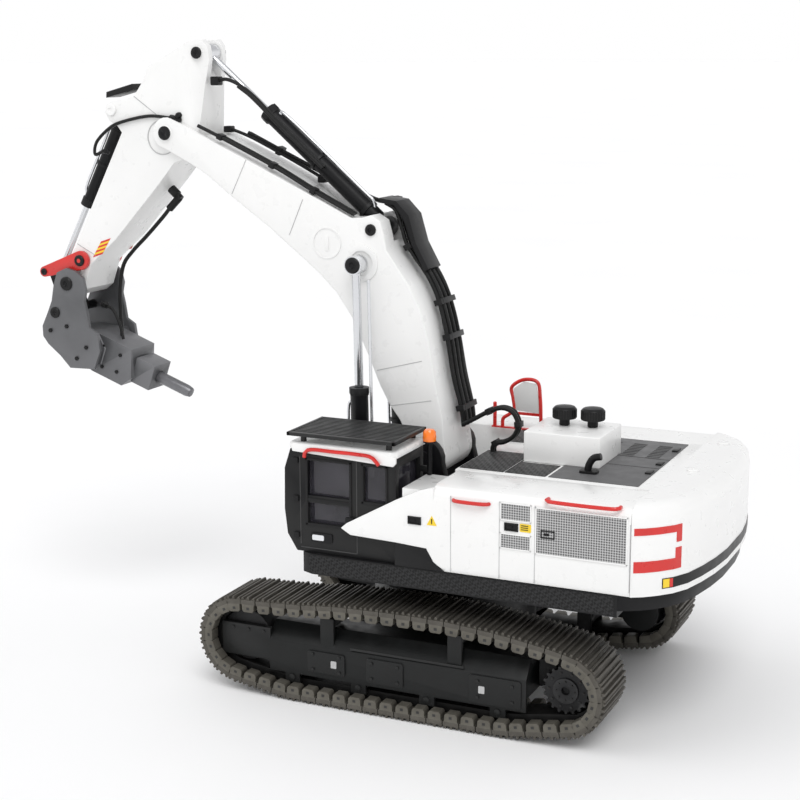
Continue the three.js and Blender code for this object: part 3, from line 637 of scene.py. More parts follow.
def side_panels():
    seams = Piece()
    for x in (-42, -75, -98.5):
        seams.box(x - 0.3, x + 0.3, 109.8, 110.06, 108, 158)
    seams.tube([(-159.4, 110, 110), (-159.4, 110, 153)], 0.25, 6, 2)
    for x in (-30, -60, -90, -120):
        seams.box(x - 0.3, x + 0.3, -110.06, -109.8, 108, 156)
    seams.build("side_seams", PALE_SEAM_AND_CREASE_SHADE, "house", "white_paint")
    mesh = Piece()
    mesh.plate(rounded_rectangle(-157.3, -99.4, 127.6, 156.7, 1.5), 109.8, 110.5)
    mesh.plate(rounded_rectangle(-95.5, -76, 147, 157.5, 1.2), 109.8, 110.5)
    mesh.plate(rounded_rectangle(-95.5, -76, 128.7, 137.6, 1.2), 109.8, 110.5)
    mesh.plate(rounded_rectangle(-150, -70, 126, 154, 1.5), -110.5, -109.8)
    mesh.build("side_grilles", GRILLE, "house", "dark_panel")
    rims = Piece()
    framed(rims, -158, -98.8, 127, 157.3, 109.8, 110.8, 0.9)
    framed(rims, -96.1, -75.4, 146.4, 158, 109.8, 110.8, 0.8)
    framed(rims, -96.1, -75.4, 128.1, 138.2, 109.8, 110.8, 0.8)
    framed(rims, -151, -69, 125, 155, -110.8, -109.8, 0.9)
    rims.build("grille_rims", WHITE, "house", "white_paint", 0.2)
    latches = Piece()
    for x, z in ((-17, 139), (-83, 142.5), (-107, 140.5)):
        framed(latches, x - 4.6, x + 4.6, z - 2.6, z + 2.6, 109.9, 110.9, 0.8)
        latches.plate(rounded_rectangle(x - 3.8, x + 3.8, z - 1.9, z + 1.9, 0.6), 109.9, 110.4)
        latches.plate(rounded_rectangle(x - 1, x + 2.6, z - 0.8, z + 0.8, 0.4), 110.3, 111)
    latches.build("door_latches", BLACK, "house", "black_plastic", 0.15)
    labels = Piece()
    labels.plate([(-25.5, 137), (-32.5, 137), (-29, 143.4)], 109.9, 110.2)
    labels.plate(rounded_rectangle(-96, -88.6, 140.2, 145.4, 0.6), 109.9, 110.3)
    labels.build("side_labels", YELLOW, "house", "dark_panel")
    marks = Piece()
    marks.plate([(-28.7, 138), (-29.3, 138), (-29.4, 141.4), (-28.6, 141.4)], 110.1, 110.35)
    for z in (141.4, 142.7, 144):
        marks.box(-94.2, -89.4, 110.2, 110.45, z, z + 0.5)
    marks.build("label_marks", BLACK, "house", "black_plastic")


def skirt():
    strip = Piece()
    strip.box(-150, 60, 109.45, 109.75, 94, 106)
    strip.box(-150, 60, -109.75, -109.45, 94, 106)
    strip.build("skirt_strips", SKIRT, "house", "black_plastic")
    corner = Piece()
    edge = [(-3, 107.2), (-38, 107.2), (-30, 113), (-25, 121.2), (-3, 122.4)]
    corner.plate(edge, 109.6, 110.2)
    corner.build("lower_corner", BLACK, "house", "black_plastic", 0.1)


REAR_CURVE = [
    (-160, 109.6), (-167, 105.6), (-174, 99.6), (-181.5, 91), (-187.5, 79.5), (-192, 62),
    (-195.5, 42), (-197.6, 20), (-197.6, -20), (-195.5, -42), (-192, -62), (-187.5, -79.5),
    (-181.5, -91), (-174, -99.6), (-167, -105.6), (-160, -109.6),
]


def band(piece, i0, i1, t0, t1, z0, z1, proud):
    """A thin strip that follows the counterweight from one corner of its outline to another."""
    points = REAR_CURVE[i0 : i1 + 1]
    first = Vector(points[0]).lerp(Vector(points[1]), t0)
    last = Vector(points[-2]).lerp(Vector(points[-1]), t1)
    run = [first, *[Vector(p) for p in points[1:-1]], last]
    outer = []
    inner = []
    for i, p in enumerate(run):
        way = (run[min(i + 1, len(run) - 1)] - run[max(i - 1, 0)]).normalized()
        out = Vector((way.y, -way.x))
        if out.x > 0:
            out = -out
        outer.append((p.x + out.x * proud, p.y + out.y * proud))
        inner.append((p.x - out.x * 0.4, p.y - out.y * 0.4))
    piece.slab([*outer, *reversed(inner)], z0, z1)


def counterweight_details():
    stripe = Piece()
    band(stripe, 2, 13, 0.3, 0.7, 111, 117.5, 0.25)
    stripe.build("counterweight_stripe", BLACK, "house", "black_plastic")
    red = Piece()
    band(red, 0, 4, 0.2, 0.5, 146, 150.5, 0.3)
    band(red, 3, 4, 0.15, 0.5, 139.5, 147, 0.3)
    band(red, 3, 4, 0.1, 0.5, 126, 136, 0.3)
    band(red, 0, 4, 0.2, 0.5, 122.5, 129.5, 0.3)
    red.build("counterweight_marks", RED, "house", "red_paint")
    patches = Piece()
    ends = Piece()
    for i, t in ((2, 0.35), (12, 0.35)):
        band(patches, i, i + 1, t, t + 0.4, 111.6, 117, 0.4)
        band(ends, i, i + 1, t + 0.42, t + 0.62, 111.6, 117, 0.4)
    patches.build("reflectors", YELLOW, "house", "orange_lens")
    ends.build("reflector_ends", RED, "house", "red_paint")
    eyes = Piece()
    for y in (13.8, -67):
        eyes.turn([(0, 0), (4.2, 0), (4.2, 1), (3.4, 1.6), (1.8, 1.6), (1.6, 0.8), (0, 0.8)],
                  (-172, y, 164.9), (0, 0, 1), 24)
    eyes.build("lifting_bosses", WHITE, "house", "white_paint")
    seam = Piece()
    seam.box(-159.8, -159.2, -100, 100, 162.8, 163.2)
    seam.build("counterweight_seam", SEAM, "house", "dark_panel")


def hood_details():
    top = BODY_TOP
    mesh = Piece()
    mesh.slab([(-149, -62), (-149, 60), (-89, 60), (-89, -62)], top - 0.2, top + 0.5)
    mesh.build("hood_mesh_plate", HOOD, "house", "dark_panel", 0.2)
    walk = Piece()
    walk.slab([(-87, -62), (-87, -22), (-27, -22), (-27, -62)], top - 0.2, top + 0.45)
    walk.slab([(-58, 8), (-58, 60), (-27, 60), (-27, 8)], top - 0.2, top + 0.45)
    walk.slab([(-87, 30), (-87, 60), (-60, 60), (-60, 30)], top - 0.2, top + 0.45)
    walk.build("hood_walkway", WALKWAY, "house", "dark_panel", 0.2)
    # Flat black plates on the hood's vents: painted shade inside the vent openings.
    slot_shade = Piece()
    for row in range(3):
        for k in range(9):
            x = -141 + row * 18
            y = -50 + k * 4.4
            slot_shade.slab([(x, y), (x, y + 2.2), (x + 9, y + 2.2), (x + 9, y)], top + 0.4, top + 0.7)
    slot_shade.build("hood_slot_shade", BLACK, "house", "black_plastic")
    hinge = Piece()
    for y in (-45, -5, 20):
        hinge.slab([(-148, y), (-148, y + 9), (-144, y + 9), (-144, y)], top + 0.3, top + 1.6)
    hinge.build("hood_hinges", BLACK, "house", "black_plastic", 0.3)
    lines = Piece()
    for y in (-13, 12):
        lines.slab([(-149, y), (-149, y + 0.7), (-91, y + 0.7), (-91, y)], top + 0.3, top + 0.62)
    lines.box(-59.8, -59, -60, 60, top, top + 0.5)
    lines.build("hood_lines", SEAM, "house", "dark_panel")


def pre_cleaner_details():
    ribs = Piece()
    for name in ("pre_cleaner_front", "pre_cleaner_rear"):
        low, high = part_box(name)
        x = ((low.x + high.x) / 2 - ORIGIN_X) / MM
        y = ((low.y + high.y) / 2 - ORIGIN_Y) / MM
        r = (high.x - low.x) / 2 / MM
        base = low.z / MM
        for k in range(28):
            a = 2 * math.pi * k / 28
            spot = (x + (r - 0.1) * math.cos(a), y + (r - 0.1) * math.sin(a))
            ribs.tube([(*spot, base + 5.4), (*spot, base + 11)], 0.35, 6, 1)
    ribs.build("pre_cleaner_ribs", BLACK, "house", "black_plastic")


def cab_details():
    near = 106
    rubber = Piece()
    framed(rubber, 29.6, 63.4, 125.6, 171.4, near - 0.1, near + 0.7, 1.6)
    framed(rubber, 3.6, 22.4, 144.6, 171.4, near - 0.1, near + 0.7, 1.6)
    rubber.box(30, 63, near - 0.1, near + 0.6, 142.6, 144.2)
    rubber.build("window_rubbers", BLACK, "house", "black_rubber", 0.25)
    door = Piece()
    for x, z0, z1 in ((26, 110, 174), (67.5, 112, 172)):
        door.box(x - 0.3, x + 0.3, near - 0.1, near + 0.15, z0, z1)
    door.box(26, 67.5, near - 0.1, near + 0.15, 109.6, 110.2)
    door.build("door_seams", SEAM, "house", "dark_panel")
    fittings = Piece()
    fittings.plate(rounded_rectangle(27.5, 34, 131, 134.4, 1), near, near + 1.8)
    fittings.plate(rounded_rectangle(44, 60, 114.5, 121, 1.2), near, near + 0.8)
    for z in (116, 141, 167):
        fittings.plate(rounded_rectangle(68.5, 72.5, z, z + 4, 0.6), near, near + 1.4)
    fittings.build("cab_fittings", BLACK, "house", "black_plastic", 0.2)
    lens = Piece()
    lens.plate(rounded_rectangle(50, 58.5, 116, 119.6, 0.8), near + 0.7, near + 1.3)
    lens.build("side_lamp", LENS, "house", "tinted_glass")
    levers = Piece()
    for y in (75, 93):
        levers.tube([(50, y, 108), (51, y, 122), (48, y, 132)], 1, 8, 4)
        levers.turn([(0, 0), (1.9, 0.6), (2.1, 2.6), (1.2, 4.4), (0, 4.8)], (48, y, 131), (-0.2, 0, 1))
    levers.box(52, 64, 74, 92, 108, 124)
    levers.build("control_levers", BLACK, "house", "black_plastic", 0.3)


def roof_slats():
    """The guard on the roof: a frame with slats that run from front to back."""
    low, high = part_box("roof_guard")
    x0 = (low.x - ORIGIN_X) / MM
    x1 = (high.x - ORIGIN_X) / MM
    y0 = (low.y - ORIGIN_Y) / MM
    y1 = (high.y - ORIGIN_Y) / MM
    top = high.z / MM
    guard = Piece()
    framed_slab(guard, x0, x1, y0, y1, top - 2.4, top, 2.2)
    pitch = (y1 - y0 - 4) / 13
    for k in range(13):
        y = y0 + 2 + pitch * (k + 0.5)
        guard.box(x0 + 1.5, x1 - 1.5, y - 1.1, y + 1.1, top - 2.2, top - 0.2)
    for x in (x0 + 18, (x0 + x1) / 2, x1 - 18):
        guard.box(x - 1.2, x + 1.2, y0 + 1.5, y1 - 1.5, top - 2.4, top - 0.6)
    for x, y in ((4, 66), (66, 66), (4, 103), (66, 103)):
        guard.turn([(0, 0), (2, 0), (2, 5.6), (0, 5.6)], (x, y, 181.2), (0, 0, 1), 12)
    made = guard.build("roof_guard_slats", FRAME, "house", "black_plastic", 0.3)
    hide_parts("roof_guard")


def framed_slab(piece, x0, x1, y0, y1, z0, z1, wide):
    piece.box(x0, x1, y0, y0 + wide, z0, z1)
    piece.box(x0, x1, y1 - wide, y1, z0, z1)
    piece.box(x0, x0 + wide, y0, y1, z0, z1)
    piece.box(x1 - wide, x1, y0, y1, z0, z1)


def beacon_parts():
    dome = Piece()
    dome.turn([(0, 22.9), (4.4, 23), (4.6, 25), (4.3, 29), (3, 30.6), (0, 31)],
              (-9, 68, 158.3), (0, 0, 1), 28)
    dome.build("beacon_dome", ORANGE, "house", "orange_lens")
    stem = Piece()
    stem.turn([(0, 0), (1.7, 0), (1.7, 22), (4.5, 22), (4.5, 23), (0, 23)],
              (-9, 68, 158.3), (0, 0, 1), 24)
    stem.box(-9, -2.3, 67, 69, 160, 164)
    made = stem.build("beacon_stem", BLACK, "house", "black_plastic", 0.2)
    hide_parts("beacon")


def guard_rail():
    """The upright hoop beside the walkway, with a pale sheet inside it."""
    y = -60
    hoop = [(-11, y, 163.8), (-11.5, y, 170), (-16, y, 173.5), (-20, y, 177), (-19, y, 186),
            (-18, y, 194), (-27, y, 200), (-37.5, y, 199), (-39.8, y, 188), (-40.5, y, 174),
            (-40.5, y, 163.8)]
    red = Piece()
    red.tube(hoop, 1.35, 12, 8)
    red.box(-41, -18, y - 0.8, y + 0.8, 174, 176)
    red.box(-43, -3, y - 1.5, y + 1.5, 163.3, 164.3)
    red.turn([(0, 0), (1.4, 0), (1.4, 17.6), (0.9, 18.2), (0, 18.2)], (-5, y, 163.8), (0, 0, 1))
    made = red.build("guard_hoop", RED, "house", "red_paint")
    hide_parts("guard_rail")
    sheet = Piece()
    sheet.plate([(-20, 177), (-39.2, 176), (-38.4, 188), (-36.6, 197.6), (-27, 198.6), (-19.4, 193)],
                y - 0.5, y + 0.5)
    sheet.build("guard_sheet", PLATE, "house", "white_paint", 0.15)


def exhaust():
    """A low black outlet that stands on the hood's plate."""
    pipe = Piece()
    pipe.slab(rounded_rectangle(-116, -104, 36, 44, 2), 163.3, 165.2)
    pipe.tube([(-109, 40, 164), (-110, 40, 169), (-113, 40, 173.5), (-118, 40, 175)], 2.4, 16, 6)
    made = pipe.build("exhaust_outlet", BLACK, "house", "black_plastic", 0.2)
    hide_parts("exhaust")


LOOP_LINE = [
    (-9.9, 180.7), (-18.3, 185.4), (-28.6, 191.3), (-38.1, 194.5), (-46.1, 192), (-49.8, 184),
    (-47, 176), (-40, 171), (-33.5, 169.4), (-31.5, 166), (-31.5, 163.4),
]


def loop_hoses():
    """Two hoses side by side that loop from the foot of the boom into the hood."""
    hoses = Piece()
    for y in (8.3, 11.7):
        hoses.tube([(x, y, z) for x, z in LOOP_LINE], 1.6, 12, 6)
    made = hoses.build("loop_hose_pair", HOSE, "house", "black_rubber")
    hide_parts("loop_hose")
    ties = Piece()
    for i in (2, 5, 8):
        clamp(ties, LOOP_LINE, i, 6.4, 13.6, 2.2)
    ties.build("loop_hose_ties", BLACK, "house", "black_plastic", 0.25)


def build_house():
    whites = ("side_body_left", "side_body_right", "counterweight", "air_box", "cab_roof")
    for name in whites:
        rounded(name, WHITE, "house", 0.8)
    rounded("engine_hood", WHITE, "house", 0.5)
    for name in ("deck", "cab_shell", "pre_cleaner_front", "pre_cleaner_rear"):
        rounded(name, BLACK, "house", 0.5)
    for name in ("grab_handle_front", "grab_handle_rear", "cab_rail"):
        rounded(name, RED, "house", 0.0)
    guard_rail()
    exhaust()
    loop_hoses()
    rounded("seat", SEAT, "house", 1.6)
    rounded("cab_glass", GLASS, "house", 0.2)
    side_panels()
    skirt()
    counterweight_details()
    hood_details()
    pre_cleaner_details()
    cab_details()
    roof_slats()
    beacon_parts()


# ---------- boom ----------
def line_on_face(piece, points, face, r=0.35):
    piece.tube([(x, face, z) for x, z in points], r, 6, 1, smooth=False)


def pad_ring(piece, pin, r, width, face, proud):
    """A flat raised ring on a side face."""
    sides = 36
    outer = circle(pin, r, sides)
    inner = circle(pin, r - width, sides)
    y0, y1 = sorted((face, face + proud))
    low_out = [(x, y0, z) for x, z in outer]
    low_in = [(x, y0, z) for x, z in inner]
    high_out = [(x, y1, z) for x, z in outer]
    high_in = [(x, y1, z) for x, z in inner]
    faces = []
    for k in range(sides):
        m = (k + 1) % sides
        faces.append((k, m, sides + m, sides + k))
        faces.append((2 * sides + k, 2 * sides + m, 3 * sides + m, 3 * sides + k))
        faces.append((k, m, 2 * sides + m, 2 * sides + k))
        faces.append((sides + k, sides + m, 3 * sides + m, 3 * sides + k))
    piece.add([*low_out, *low_in, *high_out, *high_in], faces)


HOSE_LINE = [
    (-6.5, 177), (-4.6, 190), (1, 212), (5.6, 239), (12, 263), (20.5, 280.5), (35, 300.5),
    (39.5, 313), (44, 325), (52, 330), (66, 329), (90, 338), (116, 349.6), (144, 362.4),
    (170, 374.2),
]


def build_boom():
    rounded("boom", WHITE, "boom", 0.8)
    for word, side in SIDES:
        # The grey raised lines on each boom side mark creases; their grey is painted crease shade.
        seams = Piece()
        face = side * BOOM_HALF
        for line in (
            [(50, 216), (16, 225)], [(39.5, 192), (9, 198)], [(150.5, 358), (162.5, 334)],
            [(106, 332), (117, 307)],
        ):
            line_on_face(seams, line, face)
        seams.build("boom_crease_shade_lines_" + word, PALE_SEAM_AND_CREASE_SHADE, "boom", "white_paint")
        pads = Piece()
        pad_ring(pads, (87.7, 302.6), 11, 1, face, side * 0.5)
        pad_ring(pads, LIFT_TOP, 12.5, 4, face, side * 1.2)
        pads.plate(rounded_rectangle(86.2, 89.2, 297, 308, 1.4), *sorted((face, face + side * 0.5)))
        pads.build("boom_pads_" + word, WHITE, "boom", "white_paint", 0.15)
        caps = Piece()
        caps.knob(STICK_PIN, 5, face + side * 1.4, 0.9, side)
        caps.knob(STICK_CYL_BASE, 4, face, 1.6, side)
        caps.build("boom_pin_caps_" + word, BLACK, "boom", "black_plastic")
    hoses = Piece()
    for y, lift in ((-16.6, 0), (-13, 1.1), (-9.6, 0), (-6, 1.3), (-2.4, 0.2), (1.2, 1.5), (4, 0)):
        run = HOSE_LINE if y < -10 else HOSE_LINE[:10]
        line = [(x - lift, y + 0.6 * math.sin(z / 14 + y), z + lift * 0.6) for x, z in run]
        hoses.tube(line, 1.45, 12, 6)
    made = hoses.build("boom_hose_bundle", HOSE, "boom", "black_rubber")
    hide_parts("boom_hoses")
    clamps = Piece()
    for i in (1, 3, 4, 6, 9, 11, 13):
        clamp(clamps, HOSE_LINE, i, -18.8, 6 if i < 9 else -11, 2.9)
    clamps.build("boom_hose_clamps", BLACK, "boom", "black_plastic", 0.3)
    top = Piece()
    near = [(190, 22, 381), (172.2, 22, 373.4), (130.8, 22, 354.6), (98.8, 22, 338),
            (67.4, 22, 322.6)]
    top.tube(near, 1.3, 10, 8)
    top.tube([(x, 18.6, z + 0.6) for x, y, z in near[1:]], 1.2, 10, 8)
    top.tube([(184, -11, 378), (164, -11, 371), (134, -11, 357), (108, -11, 344)], 1.2, 10, 8)
    top.build("boom_top_hoses", HOSE, "boom", "black_rubber")
    ties = Piece()
    for i in range(1, 4):
        clamp(ties, [(x, z) for x, y, z in near], i, 17, 23.8, 2)
    for pin in ((184, 378), (108, 344)):
        ties.plate(rounded_rectangle(pin[0] - 3, pin[0] + 3, pin[1] - 3, pin[1] + 1.6, 0.8), -14, -8)
    ties.build("boom_top_clamps", BLACK, "boom", "black_plastic", 0.3)
    guard = Piece()
    cover = [(55, 330.4), (56, 333.4), (43, 331.6), (33.5, 322), (28, 303), (18.6, 286), (21.6, 284),
             (31, 301), (37, 318), (44.5, 328.4)]
    guard.plate(cover, -15, 7)
    guard.build("boom_hose_guard", BLACK, "boom", "black_plastic", 0.4)


def clamp(piece, line, i, y0, y1, half=2.5):
    """A block that wraps the hoses, square to their run."""
    before = Vector(line[max(i - 1, 0)])
    after = Vector(line[min(i + 1, len(line) - 1)])
    way = (after - before).normalized()
    up = Vector((-way.y, way.x))
    p = Vector(line[i])
    corners = [p - way * 2 - up * half, p + way * 2 - up * half, p + way * 2 + up * half,
               p - way * 2 + up * half]
    piece.plate([(c.x, c.y) for c in corners], y0, y1)


# ---------- cylinders ----------
def on_line(a, b, s, off=0.0):
    """The point at distance s from a towards b, off to its left in the side view."""
    start = Vector(a)
    way = (Vector(b) - start).normalized()
    p = start + way * s + Vector((-way.y, way.x)) * off
    return p.x, p.y


def barrel_parts(name, body, base, top, y, end, r, line_side):
    """Gland nut, feed pipe and pipe clamps on a cylinder's barrel."""
    rings = Piece()
    way = Vector((top[0] - base[0], 0, top[1] - base[1]))
    for s, wide, grow in ((end - 5, 4.6, 0.9), (16, 3, 0.5), (end * 0.55, 2.4, 0.6)):
        spot = on_line(base, top, s)
        rings.turn([(0, 0), (r + grow, 0), (r + grow, wide), (0, wide)],
                   (spot[0], y, spot[1]), way, 6 if grow > 0.8 else 28)
    rings.build(name + "_bands", BLACK, body, "black_plastic", 0.25)
    pipe = Piece()
    reach = r + 1.3
    points = []
    for s, off in ((14, 0.6), (19, 1), (30, 1), (end - 16, 1), (end - 9, 0.6)):
        x, z = on_line(base, top, s, line_side * reach * off)
        points.append((x, y + 1.5, z))
    pipe.tube(points, 1.1, 10, 5)
    pipe.build(name + "_pipe", CHROME, body, "chrome")


def rod_hose():
    """A hose that leaves a block on the rod's eye and runs down beside the barrel."""
    line = [(180, 9.6, 412), (172.6, 9.8, 413), (162, 10, 409), (149.2, 10, 400), (131.8, 10, 384),
            (112, 10, 367), (96, 10, 353.5)]
    hose = Piece()
    hose.tube(line, 1.3, 12, 8)
    hose.tube([(x, y + 2.9, z - 0.6) for x, y, z in line[2:]], 1.2, 12, 8)
    hose.build("rod_hoses", HOSE, "stick_rod", "black_rubber")
    block = Piece()
    block.plate(rounded_rectangle(178.6, 185, 408.8, 415, 1), 5.4, 12)
    block.build("rod_hose_block", BLACK, "stick_rod", "black_plastic", 0.3)


def build_cylinders():
    for word, y in (("left", 33), ("right", -33)):
        name = "lift_barrel_" + word
        rounded(name, BLACK, name, 0.4)
        rounded("lift_rod_" + word, CHROME, "lift_rod_" + word, 0.4)
        barrel_parts("lift_" + word, name, LIFT_BASE, LIFT_TOP, y, 83, 6.6, -1)
        cap = Piece()
        side = 1 if y > 0 else -1
        cap.knob(LIFT_TOP, 5.6, y + side * 5, 1.6, side)
        cap.build("lift_rod_cap_" + word, BLACK, "lift_rod_" + word, "black_plastic")
        feed = Piece()
        line = [on_line(LIFT_BASE, LIFT_TOP, s, 9.2) for s in (56, 100, 158)]
        feed.tube([(x, y, z) for x, z in line], 1.1, 10, 4)
        feed.build("lift_feed_tube_" + word, CHROME, "lift_rod_" + word, "chrome")
    rounded("stick_barrel", BLACK, "stick_barrel", 0.4)
    rounded("stick_rod", CHROME, "stick_rod", 0.3)
    barrel_parts("stick_cylinder", "stick_barrel", STICK_CYL_BASE, STICK_CYL_TOP, 0, 120, 6.8, 1)
    rod_hose()
    rounded("tilt_barrel", BLACK, "tilt_barrel", 0.3)
    rounded("tilt_rod", CHROME, "tilt_rod", 0.3)
    barrel_parts("tilt_cylinder", "tilt_barrel", TILT_CYL_BASE, ROCKER_END, 0, 81.5, 4.6, 1)


# ---------- stick and breaker ----------
def build_stick():
    rounded("stick", WHITE, "stick", 0.8)
    for word, side in SIDES:
        face = side * STICK_HALF
        caps = Piece()
        caps.knob(STICK_CYL_TOP, 4.2, side * 16.4, 1.4, side)
        caps.knob(BREAKER_PIN, 5.2, face - side * 0.8, 1.0, side)
        caps.build("stick_caps_" + word, BLACK, "stick", "black_plastic")
        tip = Piece()
        tip.knob(TILT_CYL_BASE, 4.4, face, 1.6, side)
        tip.build("stick_tip_caps_" + word, WHITE, "stick", "white_paint")
        # The grey raised lines and ring on each stick side mark creases and the pin boss edge; their
        # grey is painted shade there.
        welds = Piece()
        line_on_face(welds, [(245, 401), (226, 388)], face)
        line_on_face(welds, [(300, 292), (284, 284)], face)
        pad_ring(welds, (222, 372), 12.5, 0.8, face, side * 0.35)
        welds.build("stick_crease_shade_lines_" + word, PALE_SEAM_AND_CREASE_SHADE, "stick", "white_paint")
    hazard()
    stick_hoses()


def hazard():
    """Slanted warning stripes with no words, low on both sides of the stick."""
    corner = Vector((286.5, 282.5))
    along = Vector((-6.4, -0.6))
    rise = Vector((-10, 15.6))
    for word, side in SIDES:
        y0, y1 = outward(side, STICK_HALF, STICK_HALF + 0.3)
        yellow = Piece()
        red = Piece()
        for k in range(7):
            piece = yellow if k % 2 else red
            low = k / 7
            high = (k + 1) / 7
            tilt = along + rise * 0.22
            corners = [corner + rise * low * 0.78, corner + rise * low * 0.78 + tilt,
                       corner + rise * high * 0.78 + tilt, corner + rise * high * 0.78]
            piece.plate([(c.x, c.y) for c in corners], y0, y1)
        yellow.build("hazard_yellow_" + word, YELLOW, "stick", "orange_lens")
        red.build("hazard_red_" + word, RED, "stick", "red_paint")


def fitting(piece, spot, way, r=2.2, length=6):
    """A hexagonal hose end with a collar."""
    piece.turn([(0, 0), (r, 0), (r, length * 0.55), (r * 0.8, length * 0.6), (r * 0.8, length),
                (0, length)], spot, way, 6)


def stick_hoses():
    hoses = Piece()
    over = [(271, 20.8, 362), (279.3, 20.8, 358.9), (277.5, 20.8, 368), (266, 20.8, 378),
            (254.6, 20.6, 382.8), (232.2, 20.6, 387.1), (213, 20.6, 386)]
    hoses.tube(over, 1.2, 10, 8)
    hoses.build("stick_side_hoses", HOSE, "stick", "black_rubber")
    rear = Piece()
    rear.turn([(0, 0), (3.4, 0), (3.4, 7), (2.6, 7.6), (2.6, 11), (0, 11)], (228, 0, 334), (-1, 0, -0.9))
    rear.turn([(0, 0), (2.9, 0), (2.9, 12), (0, 12)], (221.5, 0, 327.5), (0.72, 0, -0.7))
    made = rear.build("stick_elbow", HOSE, "stick", "black_rubber")
    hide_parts("stick_hose")
    drop = Piece()
    drop.tube([(230, 0, 319.4), (235.8, 0, 313), (250, 0, 299), (264, 0, 286), (272.7, 0, 275),
               (276.5, 0, 257.4), (277, 0, 239.8), (276.4, 0, 221)], 1.5, 12, 8)
    hose = drop.build("breaker_supply_hose", HOSE, None, "black_rubber")
    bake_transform(hose)
    fittings = Piece()
    fitting(fittings, (272, 20.6, 361.6), (-1, 0, -0.3), 1.9, 5)
    fitting(fittings, (214, 20.4, 386), (-1, 0, -0.2), 2.6, 9)
    fitting(fittings, (207, 17, 388), (0, 1, 0), 2.4, 5)
    fittings.plate([(276, 399.4), (275.6, 403.6), (253, 409.6), (252, 405.4)], -9, 9)
    fittings.build("stick_fittings", BLACK, "stick", "black_plastic", 0.2)


def build_breaker():
    for word, side in SIDES:
        rounded("rocker_" + word, RED, "rocker", 0.5)
        caps = Piece()
        caps.knob(ROCKER_PIN, 4.2, side * 22.9, 1.6, side)
        caps.knob(ROCKER_END, 2.6, side * 22.8, 1.0, side)
        caps.build("rocker_caps_" + word, BLACK, "rocker", "black_plastic")
        pins = Piece()
        pins.knob(BREAKER_PIN, 5.2, side * 26.2, 1.6, side)
        pins.knob(LINK_END, 4.2, side * 26.2, 1.4, side)
        pins.build("breaker_pins_" + word, BLACK, "breaker", "black_plastic")
        bolts = Piece()
        for pin in ((323, 226), (300, 206), (291, 215), (308, 230)):
            bolts.plate(circle(pin, 1.7, 6), *outward(side, 26.2, 27.3))
        for pin in ((283, 215), (268, 209), (272, 196), (285, 199)):
            bolts.plate(circle(pin, 1.5, 6), *outward(side, 15.5, 16.6))
        bolts.build("breaker_bolts_" + word, BLACK, "breaker", "black_plastic", 0.15)
        welds = Piece()
        line_on_face(welds, [(287, 224), (281.5, 213), (286, 201)], side * 15.8, 0.7)
        welds.build("breaker_welds_" + word, GREY, "breaker", "grey_metal")
    rounded("link", BLACK, "link", 0.4)
    rounded("breaker_housing", GREY, "breaker", 0.6)
    rounded("chisel", STEEL, "chisel", 0.3)
    hose = Piece()
    hose.tube([(284, 10, 245), (276, 12, 243), (270, 13, 234), (266, 13.5, 221)], 1.2, 10, 8)
    hose.turn([(0, 0), (2.6, 0), (2.6, 4), (0, 4)], (286, 10, 246), (-1, 0, -0.2), 6)
    hose.build("breaker_hose", HOSE, "breaker", "black_rubber")


build_tracks()
build_house()
build_boom()
build_cylinders()
build_stick()
build_breaker()


# ---------- stage, light and camera ----------
def backdrop_material():
    material = bpy.data.materials.new("pale_floor")
    material.use_nodes = True
    tree = material.node_tree
    shader = tree.nodes["Principled BSDF"]
    coords = node(tree, "ShaderNodeTexCoord").outputs["Object"]
    shade = ramp(tree, noise(tree, coords, 3).outputs["Fac"], 0.3, 0.7,
                 (0.9, 0.9, 0.9), (0.93, 0.93, 0.93))
    tree.links.new(shade.outputs["Color"], shader.inputs["Base Color"])
    shader.inputs["Roughness"].default_value = 0.9
    return material


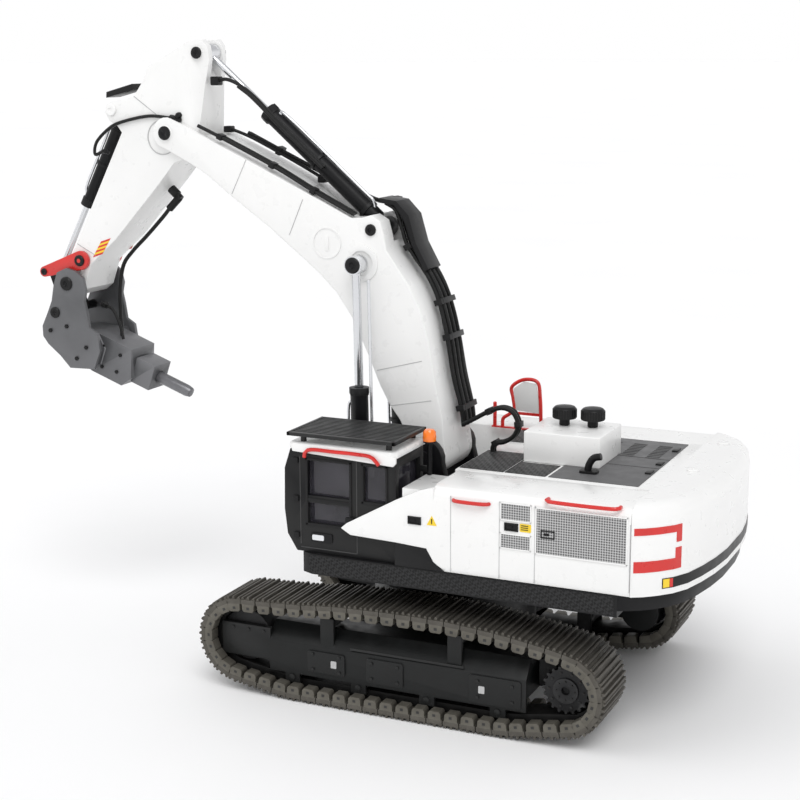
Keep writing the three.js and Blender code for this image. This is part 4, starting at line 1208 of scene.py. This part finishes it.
def build_floor():
    mesh = bpy.data.meshes.new("floor")
    reach = 60.0
    mesh.from_pydata(
        [(-reach, -reach, 0), (reach, -reach, 0), (reach, reach, 0), (-reach, reach, 0)],
        [], [(0, 1, 2, 3)],
    )
    mesh.materials.append(backdrop_material())
    floor = bpy.data.objects.new("floor", mesh)
    bpy.context.scene.collection.objects.link(floor)


def sun(name, way, angle, power):
    light = bpy.data.lights.new(name, "SUN")
    light.angle = math.radians(angle)
    light.energy = power
    made = bpy.data.objects.new(name, light)
    bpy.context.scene.collection.objects.link(made)
    made.rotation_euler = Vector(way).to_track_quat("-Z", "Y").to_euler()


def build_light():
    """A white sky that is brightest near the horizon, one soft key and a weaker fill."""
    world = bpy.data.worlds.new("studio")
    bpy.context.scene.world = world
    world.use_nodes = True
    tree = world.node_tree
    background = tree.nodes["Background"]
    coords = node(tree, "ShaderNodeTexCoord").outputs["Generated"]
    split = node(tree, "ShaderNodeSeparateXYZ")
    tree.links.new(coords, split.inputs[0])
    fade = ramp(tree, split.outputs["Z"], 0.06, 0.4, (1, 1, 1), (0.68, 0.68, 0.69))
    tree.links.new(fade.outputs["Color"], background.inputs["Color"])
    background.inputs["Strength"].default_value = 1.0
    sun("key", (0.35, -0.62, -0.9), 35, 1.3)
    sun("fill", (-0.8, -0.3, -0.7), 50, 0.45)


CAMERA_SPOT = (-427.87, 1022.44, 432.26)
CAMERA_WAY = (0.4094, -0.8878, -0.2097)
CAMERA_ROLL = math.radians(-0.237)
CAMERA_LENS = 73.27


def build_camera():
    data = bpy.data.cameras.new("photo_camera")
    data.sensor_width = 36
    data.lens = CAMERA_LENS
    data.clip_start = 0.01
    made = bpy.data.objects.new("photo_camera", data)
    bpy.context.scene.collection.objects.link(made)
    forward = Vector(CAMERA_WAY).normalized()
    right = forward.cross(Vector((0, 0, 1))).normalized()
    up = right.cross(forward)
    turn = Matrix((right, up, -forward)).transposed().to_4x4()
    made.matrix_world = Matrix.Translation(at(*CAMERA_SPOT)) @ turn @ Matrix.Rotation(
        CAMERA_ROLL, 4, "Z",
    )
    bpy.context.scene.camera = made


build_floor()
build_light()
build_camera()
bpy.context.scene.view_settings.view_transform = "Standard"


bpy.context.view_layer.update()
